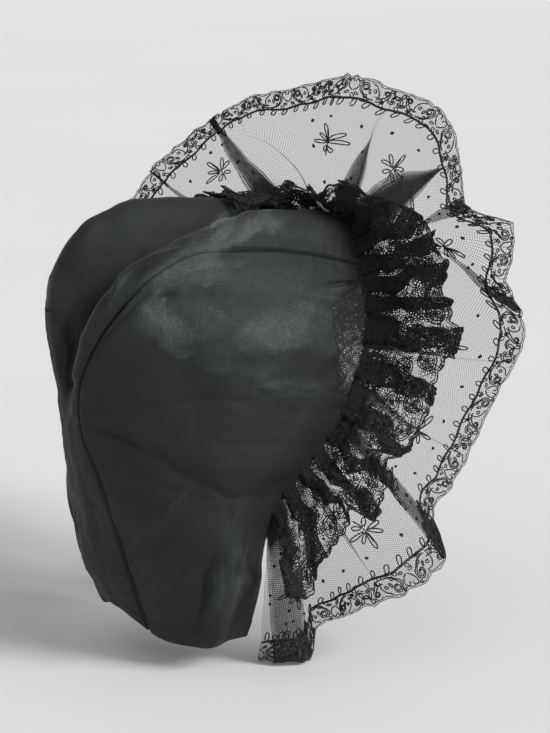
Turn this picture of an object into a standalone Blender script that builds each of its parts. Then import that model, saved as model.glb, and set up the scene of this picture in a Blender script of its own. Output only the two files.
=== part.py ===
"""A black silk satin bonnet, soft and unlined, edged with a gathered frill of embroidered net.

Metres, +Z up. The wearer looks along -Y and the wearer's left is +X. The origin is where the top of a
head touches the crown: on the underside of the crown strip, in the middle of its caved-in valley.
"""

from collections import namedtuple
from math import cos, pi, radians, sin

import bmesh
import bpy
import numpy as np

# Cloth thicknesses and the gaps that keep neighbouring pieces apart
SATIN = 0.0012
NET = 0.0010
SEAM_INSET = 0.0016

# Mesh steps: the crown strip, a side panel, a net wedge, the frill and the ruffle
STRIP_ACROSS = 12
PANEL_ALONG, PANEL_UP = 14, 20
WEDGE_ACROSS = 3
FRILL_ALONG, FRILL_OUT = 132, 4
RUFFLE_PLEATS, RUFFLE_STEPS, RUFFLE_OUT = 25, 6, 3

# The crown strip, one row for each station of its seams from the face to the nape. y and z place the
# seam, seam_x and crest_x are half widths, and a rise is measured straight out from the seam.
Station = namedtuple("Station", "place y z seam_x crest_x right middle left")
CROWN = (
    Station("face edge", -0.077, -0.008, 0.064, 0.038, 0.028, 0.020, 0.028),
    Station("forehead", -0.040, 0.003, 0.063, 0.038, 0.026, 0.010, 0.022),
    Station("top front", -0.008, 0.010, 0.061, 0.038, 0.022, 0.002, 0.019),
    Station("top", 0.023, 0.014, 0.058, 0.038, 0.014, -0.005, 0.018),
    Station("top back", 0.052, 0.015, 0.054, 0.037, 0.006, -0.012, 0.016),
    Station("crown corner", 0.079, 0.005, 0.050, 0.036, 0.006, -0.020, 0.015),
    Station("upper back", 0.101, -0.015, 0.045, 0.034, 0.010, -0.026, 0.005),
    Station("cleft", 0.115, -0.040, 0.035, 0.026, 0.006, -0.024, 0.001),
    Station("cleft foot", 0.120, -0.062, 0.025, 0.016, 0.003, -0.013, 0.001),
    Station("pinch", 0.120, -0.084, 0.017, 0.009, 0.002, -0.001, 0.001),
    Station("below the pinch", 0.117, -0.104, 0.017, 0.009, 0.002, 0.003, 0.002),
    Station("back", 0.110, -0.126, 0.021, 0.010, 0.003, 0.004, 0.003),
    Station("low back", 0.103, -0.153, 0.024, 0.012, 0.003, 0.004, 0.003),
    Station("neck", 0.094, -0.182, 0.025, 0.012, 0.003, 0.004, 0.003),
    Station("low neck", 0.086, -0.212, 0.027, 0.013, 0.004, 0.005, 0.004),
    Station("nape edge", 0.072, -0.246, 0.025, 0.012, 0.003, 0.004, 0.003),
)
CROWN_CORNER = 0.49  # how far along its seam a side panel's top edge turns into its back edge
NAPE_ARCH = 0.040  # the part of the strip's length that the nape edge rises in its middle
NAPE_ARCH_FROM = 0.80
HEAD_SEAT_ALONG = 0.1836  # the part of the strip's length where its underside rests on the head

# The edge of a side panel, one row for each turn of the outline. x is the distance from the middle.
Turn = namedtuple("Turn", "place x y z")
FACE_EDGE = (
    Turn("strip seam", 0.0640, -0.077, -0.008),
    Turn("temple top", 0.0710, -0.078, -0.026),
    Turn("temple", 0.0745, -0.076, -0.045),
    Turn("temple foot", 0.0750, -0.073, -0.063),
    Turn("cheek top", 0.0745, -0.064, -0.088),
    Turn("cheek", 0.0730, -0.050, -0.113),
    Turn("jaw top", 0.0700, -0.020, -0.144),
    Turn("jaw", 0.0660, 0.000, -0.170),
    Turn("chin", 0.0620, 0.006, -0.200),
    Turn("chin foot", 0.0600, 0.007, -0.224),
    Turn("front corner", 0.0605, 0.018, -0.251),
)
NECK_EDGE = (
    Turn("front corner", 0.0605, 0.018, -0.251),
    Turn("front of the hem", 0.0620, 0.036, -0.2505),
    Turn("lowest point", 0.0600, 0.050, -0.2520),
    Turn("under the ear", 0.0520, 0.059, -0.2510),
    Turn("behind the ear", 0.0380, 0.068, -0.2490),
    Turn("strip seam", 0.0250, 0.072, -0.246),
)
PANEL_FULLNESS = 0.024
FULLNESS_ALONG, FULLNESS_UP = 0.80, 0.75  # below 1, the panel's fullness starts more steeply at its edges

# The satin stops short of the face edge at the temple, and coarse net fills the wedge.
WEDGE_TOP, WEDGE_WIDEST, WEDGE_FOOT = -0.018, -0.032, -0.098
WEDGE_WIDTH = 0.035
WEDGE_SPLAY = 0.04  # how much further from the middle plane the satin stands beside the wedge
WEDGE_TAPER = 0.8  # below 1, the wedge's slanted side bows towards the ear
WEDGE_GAP = 0.0012
WEDGE_ROWS_UP = (0.930, 0.960)  # extra rows of the panel that follow the wedge's slanted top
WEDGE_FOOT_UP = 0.680
WEDGE_TOP_SATIN_UP, WEDGE_TOP_EDGE_UP = 0.932, 0.955

# Dents and folds of a side panel, each a straight ridge (height > 0) or groove (height < 0) in side view
Fold = namedtuple("Fold", "name y0 z0 y1 z1 width height")
PANEL_FOLDS = (
    Fold("cheek pull", 0.016, -0.079, -0.050, -0.084, 0.011, 0.0025),
    Fold("crown dimple", 0.081, -0.012, 0.070, -0.022, 0.010, -0.0045),
    Fold("back drag", 0.121, -0.096, 0.070, -0.128, 0.012, -0.0030),
    Fold("neck break", 0.088, -0.140, 0.010, -0.150, 0.014, -0.0055),
    Fold("nape roll", 0.082, -0.151, 0.092, -0.190, 0.012, 0.0030),
    Fold("front pleat", 0.020, -0.182, 0.033, -0.240, 0.010, -0.0050),
    Fold("hem pleat", 0.055, -0.206, 0.064, -0.240, 0.010, -0.0035),
    Fold("front roll", 0.038, -0.185, 0.045, -0.240, 0.013, 0.0050),
)

# The lace is gathered on the face edge from jaw to jaw. Each row of the frill is a place along that
# edge, from the wearer's right jaw (0) over the forehead to the left jaw (1), with the way the frill
# stands there: away from the middle plane, towards the face and up, then its reach in metres.
GATHER_END = Turn("gather end", 0.0650, 0.004, -0.178)
GATHER_TURNS = 8  # how many rows of FACE_EDGE carry lace
GATHER_ACROSS = (-0.75, -0.5, -0.25, 0.0, 0.25, 0.5, 0.75)  # places across the strip's front edge
TEMPLE_HEIGHT = -0.060  # above this height the cloth's outward way starts from one point
Stand = namedtuple("Stand", "place along out forward up reach")
FRILL = (
    Stand("right end", 0.000, 0.02, -0.14, -0.98, 0.097),
    Stand("tail", 0.028, 0.16, 0.08, -0.98, 0.105),
    Stand("tail fold", 0.052, 0.10, 0.18, -0.95, 0.103),
    Stand("jaw", 0.085, 0.35, 0.16, -0.88, 0.102),
    Stand("jaw lobe", 0.115, 0.58, 0.25, -0.77, 0.108),
    Stand("jaw rim", 0.145, 0.60, 0.38, -0.70, 0.108),
    Stand("jaw notch", 0.172, 0.42, 0.44, -0.66, 0.088),
    Stand("cheek", 0.205, 0.28, 0.66, -0.58, 0.096),
    Stand("cheek lobe", 0.240, 0.32, 0.82, -0.32, 0.097),
    Stand("temple", 0.265, 0.45, 0.82, -0.14, 0.101),
    Stand("temple lobe", 0.290, 0.50, 0.80, -0.05, 0.101),
    Stand("temple notch", 0.312, 0.50, 0.70, 0.10, 0.091),
    Stand("upper temple", 0.335, 0.47, 0.76, 0.20, 0.098),
    Stand("upper lobe", 0.353, 0.52, 0.72, 0.28, 0.100),
    Stand("seam notch", 0.373, 0.34, 0.62, 0.34, 0.086),
    Stand("brow edge", 0.402, 0.20, 0.66, 0.45, 0.090),
    Stand("brow", 0.432, 0.20, 0.58, 0.67, 0.097),
    Stand("brow lobe", 0.465, 0.07, 0.42, 0.82, 0.100),
    Stand("middle", 0.500, 0.00, 0.28, 0.91, 0.102),
    Stand("left brow", 0.542, 0.40, 0.20, 0.72, 0.089),
    Stand("left brow edge", 0.578, 0.68, 0.06, 0.54, 0.091),
    Stand("left seam notch", 0.600, 0.78, 0.00, 0.54, 0.092),
    Stand("left temple lobe", 0.632, 0.88, -0.08, 0.44, 0.098),
    Stand("left temple", 0.665, 0.90, -0.24, 0.39, 0.106),
    Stand("left temple foot", 0.695, 0.90, -0.34, 0.34, 0.107),
    Stand("left cheek notch", 0.730, 0.86, 0.20, 0.10, 0.100),
    Stand("left cheek lobe", 0.765, 0.66, 0.66, -0.08, 0.104),
    Stand("left cheek", 0.805, 0.52, 0.68, -0.35, 0.102),
    Stand("left jaw notch", 0.840, 0.52, 0.50, -0.55, 0.096),
    Stand("left jaw lobe", 0.880, 0.55, 0.34, -0.74, 0.106),
    Stand("left tail fold", 0.945, 0.15, 0.16, -0.94, 0.104),
    Stand("left end", 1.000, 0.02, -0.10, -0.99, 0.098),
)
FRILL_START = 0.0035  # how far in front of the satin the frill begins
FRILL_BOW = 0.004  # how far the frill bellies between its edge and its rim
FRILL_WAVE, FRILL_WAVES = 0.003, 13

# The ruffle stands back from the frill by an angle in degrees, most of all over the forehead.
Lean = namedtuple("Lean", "place along back reach")
RUFFLE = (
    Lean("right end", 0.000, 24, 0.042),
    Lean("jaw", 0.090, 26, 0.045),
    Lean("cheek", 0.200, 28, 0.048),
    Lean("temple", 0.300, 27, 0.057),
    Lean("seam", 0.370, 38, 0.056),
    Lean("brow edge", 0.402, 46, 0.052),
    Lean("brow", 0.430, 98, 0.044),
    Lean("right crest", 0.460, 90, 0.050),
    Lean("middle", 0.500, 94, 0.054),
    Lean("left brow", 0.545, 90, 0.052),
    Lean("left brow edge", 0.590, 82, 0.050),
    Lean("left seam", 0.640, 62, 0.052),
    Lean("left temple", 0.700, 27, 0.057),
    Lean("left cheek", 0.800, 28, 0.048),
    Lean("left jaw", 0.910, 26, 0.045),
    Lean("left end", 1.000, 24, 0.042),
)
RUFFLE_START = 0.0030
RUFFLE_LIFT = 0.0070  # how far outside the frill's edge the ruffle is sewn
RUFFLE_WAVE = 0.0060
RUFFLE_FOOT_WAVE = 0.35  # the part of the wave that is left at the ruffle's gathered foot
RUFFLE_TAIL = 0.020  # the ruffle stops short of the gather's ends by this part of its length

# The soft hood hangs a little higher on its left, below the cheeks.
LEFT_LIFT = 0.012
LIFT_FROM, LIFT_FALL, LIFT_SPREAD = -0.100, 0.150, 0.060

Finish = namedtuple("Finish", "colour roughness sheen")
SATIN_FINISH = Finish((0.014, 0.016, 0.016, 1.0), 0.38, 0.3)
LACE_FINISH = Finish((0.006, 0.006, 0.006, 1.0), 0.75, 0.1)


class Track:
    """A smooth line through rows of numbers, read by the fraction of its length."""

    def __init__(self, rows, knots=None, measured=3):
        self.values = np.array(rows, float)
        if knots is None:
            steps = np.linalg.norm(np.diff(self.values[:, :measured], axis=0), axis=1)
            knots = np.concatenate([[0.0], np.cumsum(steps)])
        self.knots = np.array(knots, float)
        self.length = self.knots[-1]
        self.knots = self.knots / self.length
        self.slopes = np.gradient(self.values, self.knots, axis=0)

    def at(self, fraction):
        """The row of numbers at this fraction of the length."""
        fraction = min(max(fraction, 0.0), 1.0)
        index = int(np.searchsorted(self.knots, fraction, side="right")) - 1
        index = min(max(index, 0), len(self.knots) - 2)
        span = self.knots[index + 1] - self.knots[index]
        t = (fraction - self.knots[index]) / span
        first = (2 * t**3 - 3 * t**2 + 1) * self.values[index]
        second = (3 * t**2 - 2 * t**3) * self.values[index + 1]
        leaving = (t**3 - 2 * t**2 + t) * span * self.slopes[index]
        arriving = (t**3 - t**2) * span * self.slopes[index + 1]
        return first + second + leaving + arriving

    def heading(self, fraction, step=0.002):
        """The unit direction of the line there."""
        ahead = self.at(min(fraction + step, 1.0)) - self.at(max(fraction - step, 0.0))
        return unit(ahead)


def unit(vector):
    """The vector at length one."""
    return vector / np.linalg.norm(vector)


def smooth(value):
    """From 0 to 1 with level ends."""
    value = min(max(value, 0.0), 1.0)
    return value * value * (3 - 2 * value)


def face_track(rows):
    """The line through an outline's rows, as distances from the middle plane."""
    return Track([(row.x, row.y, row.z) for row in rows])


CROWN_TRACK = Track([row[1:] for row in CROWN], measured=2)
FACE_TRACK = face_track(FACE_EDGE)
NECK_TRACK = face_track(NECK_EDGE)


def crown_point(along, across):
    """A point of the strip: along from the face to the nape, across from right (-1) to left (1)."""
    arch = NAPE_ARCH * (1 - across**2) * smooth((along - NAPE_ARCH_FROM) / (1 - NAPE_ARCH_FROM))
    along -= arch
    y, z, seam_x, crest_x, right, middle, left = CROWN_TRACK.at(along)
    heading = unit(CROWN_TRACK.at(min(along + 0.01, 1.0))[:2] - CROWN_TRACK.at(max(along - 0.01, 0.0))[:2])
    crest = right if across < 0 else left
    side = abs(across)
    if side > 0.5:
        part = (1 - side) * 2
        x = seam_x + (crest_x - seam_x) * part
        rise = crest * sin(pi / 2 * part)
    else:
        part = side * 2
        x = crest_x * part
        rise = middle + (crest - middle) * (1 - cos(pi * part)) / 2
    x = -x if across < 0 else x
    return np.array((x, y - heading[1] * rise, z + heading[0] * rise))


def seam_point(along):
    """A point of the seam between strip and panel, as a distance from the middle plane."""
    y, z, seam_x = CROWN_TRACK.at(along)[:3]
    return np.array((seam_x, y, z))


def wedge_depth(z):
    """How far the satin stops behind the face edge at this height."""
    if z > WEDGE_TOP or z < WEDGE_FOOT:
        return 0.0
    if z > WEDGE_WIDEST:
        return WEDGE_WIDTH * smooth((WEDGE_TOP - z) / (WEDGE_TOP - WEDGE_WIDEST))
    return WEDGE_WIDTH * ((z - WEDGE_FOOT) / (WEDGE_WIDEST - WEDGE_FOOT)) ** WEDGE_TAPER


def satin_edge(up):
    """The panel's own front edge, from the front corner (0) to the strip seam (1)."""
    point = FACE_TRACK.at(1 - up)
    depth = wedge_depth(point[2])
    return point + np.array((WEDGE_SPLAY * depth, depth, 0.0))


def fold_height(y, z):
    """The sum of the panel's folds at this place in side view."""
    total = 0.0
    for fold in PANEL_FOLDS:
        line = np.array((fold.y1 - fold.y0, fold.z1 - fold.z0))
        length = np.linalg.norm(line)
        offset = np.array((y - fold.y0, z - fold.z0))
        run = float(offset @ line) / length
        away = abs(offset[0] * line[1] - offset[1] * line[0]) / length
        past = max(-run, run - length, 0.0)
        total += fold.height * np.exp(-((away / fold.width) ** 2) - (past / fold.width) ** 2)
    return total


def panel_point(along, up):
    """A point of a side panel as a distance from the middle plane: a patch between its four edges."""
    front, back = satin_edge(up), seam_point(1 - (1 - CROWN_CORNER) * up)
    below, above = NECK_TRACK.at(along), seam_point(CROWN_CORNER * along)
    corners = (
        (1 - along) * (1 - up) * satin_edge(0)
        + (1 - along) * up * satin_edge(1)
        + along * (1 - up) * NECK_TRACK.at(1)
        + along * up * seam_point(CROWN_CORNER)
    )
    point = (1 - along) * front + along * back + (1 - up) * below + up * above - corners
    point[0] += PANEL_FULLNESS * sin(pi * along) ** FULLNESS_ALONG * sin(pi * up) ** FULLNESS_UP
    point[0] += fold_height(point[1], point[2])
    return point


def gather_track():
    """The line that the lace is gathered on, from the right jaw over the forehead to the left jaw."""
    right = [(-row.x, row.y, row.z) for row in FACE_EDGE[:GATHER_TURNS]][::-1]
    right.insert(0, (-GATHER_END.x, GATHER_END.y, GATHER_END.z))
    arch = [tuple(crown_point(0.0, across)) for across in GATHER_ACROSS]
    left = [(-x, y, z) for x, y, z in right[::-1]]
    return Track(right + arch + left)


GATHER_TRACK = gather_track()
STAND_TRACK = Track([row[2:] for row in FRILL], knots=[row.along for row in FRILL])
LEAN_TRACK = Track([row[2:] for row in RUFFLE], knots=[row.along for row in RUFFLE])


def gather_frame(along):
    """The gather line's point, its heading, the way out of the cloth and the way on past its edge."""
    point = GATHER_TRACK.at(along)
    heading = GATHER_TRACK.heading(along)
    middle = np.array((0.0, point[1], min(point[2], TEMPLE_HEIGHT)))
    outward = point - middle
    outward = unit(outward - heading * float(outward @ heading))
    onward = np.cross(heading, outward)
    return point, heading, outward, -onward if onward[1] > 0 else onward


def frill_stand(along):
    """The way that the frill stands at this place, its outer side and its reach."""
    out, forward, up, reach = STAND_TRACK.at(along)
    side = -1.0 if along < 0.5 else 1.0
    way = unit(np.array((side * out, -forward, up)))
    return way, unit(np.cross(way, GATHER_TRACK.heading(along))), reach


def frill_point(along, out):
    """A point of the outer frill: along the gather line, and out from its edge (0) to its rim (1)."""
    point, _, _, onward = gather_frame(along)
    way, outer, reach = frill_stand(along)
    belly = FRILL_BOW * sin(pi * out)
    wave = FRILL_WAVE * sin(2 * pi * FRILL_WAVES * along) * out
    return point + onward * FRILL_START + way * reach * out + outer * (belly + wave)


def ruffle_point(along, out):
    """A point of the inner ruffle, which is pleated in even waves over the foot of the frill."""
    along = RUFFLE_TAIL + (1 - 2 * RUFFLE_TAIL) * along
    point, heading, outward, onward = gather_frame(along)
    way, outer, _ = frill_stand(along)
    lift = unit(outward + outer)
    degrees, reach = LEAN_TRACK.at(along)
    back = radians(degrees)
    way = way * cos(back) + outer * sin(back)
    outer = unit(np.cross(way, heading))
    swing = RUFFLE_FOOT_WAVE + (1 - RUFFLE_FOOT_WAVE) * out
    wave = RUFFLE_WAVE * sin(2 * pi * RUFFLE_PLEATS * along) * swing
    foot = point + onward * RUFFLE_START + lift * RUFFLE_LIFT
    return foot + way * reach * out + outer * wave


def wedge_point(across, satin_up, edge_up):
    """A point of the net wedge, between the satin (across 0) and the face edge (across 1)."""
    satin = satin_edge(satin_up) - np.array((0.0, WEDGE_GAP, 0.0))
    return satin + (FACE_TRACK.at(1 - edge_up) - satin) * across


def even_steps(count):
    """The fractions that part a length into this many steps."""
    return np.linspace(0.0, 1.0, count + 1)


def panel_rows():
    """A panel's fractions from its hem (0) to the strip seam (1), closer beside the wedge's top."""
    even = [up for up in even_steps(PANEL_UP) if up < WEDGE_ROWS_UP[0] or up == 1.0]
    return np.array(sorted([*even, *WEDGE_ROWS_UP]))


def seam_steps():
    """The strip's fractions where the panels beside it have their own points."""
    over = even_steps(PANEL_ALONG) * CROWN_CORNER
    down = 1 - panel_rows()[::-1] * (1 - CROWN_CORNER)
    return np.concatenate([over, down[1:]])


def grid_of(point, firsts, seconds):
    """The points of a surface at these fractions of its two measures."""
    return np.array([[point(first, second) for first in firsts] for second in seconds])


HEAD_SEAT = crown_point(HEAD_SEAT_ALONG, 0.0) - np.array((0.0, 0.0, SATIN / 2))


def settle(spot):
    """The place measured from the head seat, after the left side has been lifted a little."""
    lift = LEFT_LIFT * smooth(spot[0] / LIFT_SPREAD) * smooth((LIFT_FROM - spot[2]) / LIFT_FALL)
    return (spot[0], spot[1] - HEAD_SEAT[1], spot[2] + lift - HEAD_SEAT[2])


def pull_in(rows, sides):
    """Draw edges of a grid inwards by the seam's inset, so that neighbours keep a gap."""
    moved = rows.copy()
    for side in sides:
        edge, inner = {
            "first": ((slice(None), 0), (slice(None), 1)),
            "last": ((slice(None), -1), (slice(None), -2)),
            "top": ((-1, slice(None)), (-2, slice(None))),
        }[side]
        way = moved[inner] - moved[edge]
        moved[edge] += way / np.linalg.norm(way, axis=1)[:, None] * SEAM_INSET
    return moved


def sheet_mesh(name, rows, mirrored=False):
    """A grid mesh whose vertices are set to the rows of points."""
    seconds, firsts = rows.shape[:2]
    mesh = bpy.data.meshes.new(name)
    form = bmesh.new()
    bmesh.ops.create_grid(form, x_segments=firsts - 1, y_segments=seconds - 1, size=1.0)
    form.verts.ensure_lookup_table()
    spots = sorted(form.verts, key=lambda vert: (round(vert.co.y, 5), round(vert.co.x, 5)))
    for vert, spot in zip(spots, rows.reshape(-1, 3)):
        vert.co = settle((-spot[0] if mirrored else spot[0], spot[1], spot[2]))
    bmesh.ops.recalc_face_normals(form, faces=form.faces[:])
    form.to_mesh(mesh)
    form.free()
    mesh.shade_smooth()
    return mesh


def material(name, finish):
    """A Principled material of the part's colour, roughness and sheen."""
    made = bpy.data.materials.new(name)
    made.use_nodes = True
    shader = made.node_tree.nodes["Principled BSDF"]
    shader.inputs["Base Color"].default_value = finish.colour
    shader.inputs["Roughness"].default_value = finish.roughness
    shader.inputs["Sheen Weight"].default_value = finish.sheen
    made.diffuse_color = finish.colour
    return made


def add_cloth(collection, name, rows, thickness, finish, mirrored=False):
    """One named piece of cloth: a sheet thickened to its own wall."""
    piece = bpy.data.objects.new(name, sheet_mesh(name, rows, mirrored))
    piece.data.materials.append(material(name + "_cloth", finish))
    wall = piece.modifiers.new("wall", "SOLIDIFY")
    wall.thickness = thickness
    wall.offset = 0.0
    collection.objects.link(piece)
    return piece


def make_crown(collection):
    """The strip over the head and the two panels beside it."""
    widths = 2 * even_steps(STRIP_ACROSS) - 1
    strip = np.array([[crown_point(along, across) for across in widths] for along in seam_steps()])
    add_cloth(collection, "crown_strip", pull_in(strip, ("first", "last")), SATIN, SATIN_FINISH)
    panel = pull_in(grid_of(panel_point, even_steps(PANEL_ALONG), panel_rows()), ("last", "top"))
    add_cloth(collection, "side_panel_left", panel, SATIN, SATIN_FINISH)
    add_cloth(collection, "side_panel_right", panel, SATIN, SATIN_FINISH, mirrored=True)


def make_wedges(collection):
    """The coarse net beside each temple."""
    beside = [(up, up) for up in panel_rows() if WEDGE_FOOT_UP < up < WEDGE_TOP_SATIN_UP]
    ends = [(WEDGE_FOOT_UP, WEDGE_FOOT_UP), *beside, (WEDGE_TOP_SATIN_UP, WEDGE_TOP_EDGE_UP)]
    across = even_steps(WEDGE_ACROSS)
    wedge = np.array([[wedge_point(part, *end) for part in across] for end in ends])
    add_cloth(collection, "edge_net_left", wedge, NET, LACE_FINISH)
    add_cloth(collection, "edge_net_right", wedge, NET, LACE_FINISH, mirrored=True)


def make_lace(collection):
    """The wide frill and the short ruffle over its foot."""
    frill = grid_of(frill_point, even_steps(FRILL_ALONG), even_steps(FRILL_OUT))
    add_cloth(collection, "outer_frill", frill, NET, LACE_FINISH)
    ruffle = grid_of(ruffle_point, even_steps(RUFFLE_PLEATS * RUFFLE_STEPS), even_steps(RUFFLE_OUT))
    add_cloth(collection, "inner_ruffle", ruffle, NET, LACE_FINISH)


def main():
    """Clear the scene and make the bonnet."""
    for old in list(bpy.data.objects):
        bpy.data.objects.remove(old, do_unlink=True)
    collection = bpy.data.collections.new("poke_bonnet")
    bpy.context.scene.collection.children.link(collection)
    make_crown(collection)
    make_wedges(collection)
    make_lace(collection)


main()
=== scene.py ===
"""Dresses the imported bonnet: satin hood, coarse net wedges, embroidered net frill and dense lace ruffle.

Metres, +Z up. The wearer looks along -Y and the wearer's left is +X. The cloth is laid out in the measures
of the crown's own tables, and settled at the end so that the head seat is the origin.
"""

import logging
import math
from collections.abc import Callable, Sequence
from dataclasses import dataclass, field
from enum import Enum

import bpy
import numpy as np
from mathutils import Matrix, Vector


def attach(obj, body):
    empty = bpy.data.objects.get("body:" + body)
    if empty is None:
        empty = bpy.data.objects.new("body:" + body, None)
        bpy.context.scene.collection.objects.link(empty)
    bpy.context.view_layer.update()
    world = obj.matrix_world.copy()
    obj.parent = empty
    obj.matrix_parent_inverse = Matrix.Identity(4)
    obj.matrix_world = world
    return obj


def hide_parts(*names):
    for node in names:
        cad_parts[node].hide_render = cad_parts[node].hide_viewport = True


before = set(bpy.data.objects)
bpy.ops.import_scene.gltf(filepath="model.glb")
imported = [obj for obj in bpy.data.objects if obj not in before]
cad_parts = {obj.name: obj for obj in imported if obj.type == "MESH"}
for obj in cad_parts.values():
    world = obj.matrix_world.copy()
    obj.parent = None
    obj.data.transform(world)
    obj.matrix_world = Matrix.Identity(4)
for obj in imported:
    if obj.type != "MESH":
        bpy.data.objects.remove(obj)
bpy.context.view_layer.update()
LOG = logging.getLogger("bonnet")

Grid = np.ndarray
Line = np.ndarray
Colour = tuple[float, float, float]
Socket = bpy.types.NodeSocket
LaceForm = Callable[[np.ndarray, np.ndarray], tuple[np.ndarray, np.ndarray]]
MM = 0.001
TURN = 2 * math.pi


class Side(Enum):
    """A side of the wearer, with the sign of its X."""

    RIGHT = -1.0
    LEFT = 1.0


@dataclass(frozen=True)
class Station:
    """One station of the crown strip's seams: where it is, its half widths and how far its cloth rises."""

    place: str
    y: float
    z: float
    seam_x: float
    crest_x: float
    right: float
    middle: float
    left: float


@dataclass(frozen=True)
class Turn:
    """One turn of a side panel's outline, with x as the distance from the middle plane."""

    place: str
    x: float
    y: float
    z: float


@dataclass(frozen=True)
class Fold:
    """A straight ridge (height above 0) or groove (below 0) of a side panel, in side view."""

    name: str
    y0: float
    z0: float
    y1: float
    z1: float
    width: float
    height: float


@dataclass(frozen=True)
class Stand:
    """How the frill stands at a place along its gathered edge: its direction and its reach."""

    place: str
    along: float
    out: float
    forward: float
    up: float
    reach: float


@dataclass(frozen=True)
class Lean:
    """How far the ruffle lies back from the frill, in degrees, and its reach."""

    place: str
    along: float
    back: float
    reach: float


@dataclass(frozen=True)
class Pleat:
    """A pleat of lace: where its foot and rim end lie along the line, its half depths and how dark it is,
    from its folded layers and from painted shade between them.

    The pleat runs from opens to closes, as parts of the lace's height, and stays as it is beyond them.
    """

    name: str
    foot_at: float
    rim_at: float
    foot: float
    rim: float
    # How far the back lap closes up: folded net and painted shade between the layers.
    dense: float = 0.6
    opens: float = 0.0
    closes: float = 1.0


@dataclass(frozen=True)
class RimMark:
    """A place on a lace's rim that the photograph shows, in its pixels."""

    place: str
    along: float
    px: float
    py: float


@dataclass(frozen=True)
class Crease:
    """A ridge (height above 0) or groove (below 0) of the satin that the photograph shows, in its pixels."""

    name: str
    px0: float
    py0: float
    px1: float
    py1: float
    width: float
    height: float


@dataclass(frozen=True)
class SheenPatch:
    """A patch of painted sheen on the satin, where its colour turns pale grey and its face smoother, in the
    photograph's pixels, with its half sizes.
    """

    name: str
    px: float
    py: float
    long: float
    wide: float
    degrees: float
    amount: float


@dataclass(frozen=True)
class Hang:
    """How far the far side's outline hangs in at a row of the photograph, in its pixels."""

    place: str
    py: float
    px: float
    inward: float


def direction(azimuth: float, elevation: float) -> np.ndarray:
    """The way from the bonnet to this azimuth and elevation, in degrees."""
    a, e = math.radians(azimuth), math.radians(elevation)
    return np.array((math.sin(a) * math.cos(e), -math.cos(a) * math.cos(e), math.sin(e)))


@dataclass(frozen=True)
class PhotoView:
    """Where the photograph was taken from, and how its pixels lie on the bonnet."""

    azimuth: float = 235.0
    elevation: float = 12.0
    distance: float = 1.49773
    width: float = 550.0
    height: float = 733.0
    metres_per_pixel: float = 0.00066599
    seat_px: float = 215.0
    seat_py: float = 234.0

    def axes(self) -> tuple[np.ndarray, np.ndarray, np.ndarray]:
        """The camera's own ways.

        Returns:
            The ways towards the camera, to its right and up.
        """
        back, a = direction(self.azimuth, self.elevation), math.radians(self.azimuth)
        right = np.array((math.cos(a), math.sin(a), 0.0))
        return back, right, np.cross(back, right)

    def pixels(self, spots: np.ndarray) -> np.ndarray:
        """Where points show in the photograph.

        Args:
            spots: Settled points.

        Returns:
            Their pixels.
        """
        back, right, up = self.axes()
        scale = self.distance / (self.distance - spots @ back) / self.metres_per_pixel
        return np.stack([self.seat_px + spots @ right * scale, self.seat_py - spots @ up * scale], -1)

    def spots(self, pixels: np.ndarray, depth: np.ndarray) -> np.ndarray:
        """The points that show at these pixels.

        Args:
            pixels: Pixels of the photograph.
            depth: How far each point lies in front of the head seat.

        Returns:
            The points.
        """
        back, right, up = self.axes()
        scale = (self.distance - depth) / self.distance * self.metres_per_pixel
        across = ((pixels[..., 0] - self.seat_px) * scale)[..., None]
        rise = ((self.seat_py - pixels[..., 1]) * scale)[..., None]
        return right * across + up * rise + back * depth[..., None]


VIEW = PhotoView()

CROWN = (
    Station("face edge", -0.077, -0.008, 0.064, 0.038, 0.028, 0.020, 0.028),
    Station("forehead", -0.040, 0.003, 0.063, 0.038, 0.026, 0.010, 0.022),
    Station("top front", -0.008, 0.010, 0.061, 0.038, 0.022, 0.002, 0.019),
    Station("top", 0.023, 0.014, 0.058, 0.038, 0.014, -0.005, 0.018),
    Station("top back", 0.052, 0.015, 0.054, 0.037, 0.006, -0.012, 0.016),
    Station("crown corner", 0.079, 0.005, 0.050, 0.036, 0.006, -0.020, 0.015),
    Station("upper back", 0.101, -0.015, 0.045, 0.034, 0.010, -0.026, 0.005),
    Station("cleft", 0.115, -0.040, 0.035, 0.026, 0.006, -0.024, 0.001),
    Station("cleft foot", 0.120, -0.062, 0.025, 0.016, 0.003, -0.013, 0.001),
    Station("pinch", 0.120, -0.084, 0.017, 0.009, 0.002, -0.001, 0.001),
    Station("below the pinch", 0.117, -0.104, 0.017, 0.009, 0.002, 0.003, 0.002),
    Station("back", 0.110, -0.126, 0.021, 0.010, 0.003, 0.004, 0.003),
    Station("low back", 0.103, -0.153, 0.024, 0.012, 0.003, 0.004, 0.003),
    Station("neck", 0.094, -0.182, 0.025, 0.012, 0.003, 0.004, 0.003),
    Station("low neck", 0.086, -0.212, 0.027, 0.013, 0.004, 0.005, 0.004),
    Station("nape edge", 0.072, -0.246, 0.025, 0.012, 0.003, 0.004, 0.003),
)
FACE_EDGE = (
    Turn("strip seam", 0.0640, -0.077, -0.008),
    Turn("temple top", 0.0710, -0.078, -0.026),
    Turn("temple", 0.0745, -0.076, -0.045),
    Turn("temple foot", 0.0750, -0.073, -0.063),
    Turn("cheek top", 0.0745, -0.064, -0.088),
    Turn("cheek", 0.0730, -0.050, -0.113),
    Turn("jaw top", 0.0700, -0.020, -0.144),
    Turn("jaw", 0.0660, 0.000, -0.170),
    Turn("chin", 0.0620, 0.006, -0.200),
    Turn("chin foot", 0.0600, 0.007, -0.224),
    Turn("front corner", 0.0605, 0.018, -0.251),
)
NECK_EDGE = (
    Turn("front corner", 0.0605, 0.018, -0.251),
    Turn("front of the hem", 0.0620, 0.036, -0.2505),
    Turn("lowest point", 0.0600, 0.050, -0.2520),
    Turn("under the ear", 0.0520, 0.059, -0.2510),
    Turn("behind the ear", 0.0380, 0.068, -0.2490),
    Turn("strip seam", 0.0250, 0.072, -0.246),
)
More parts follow.
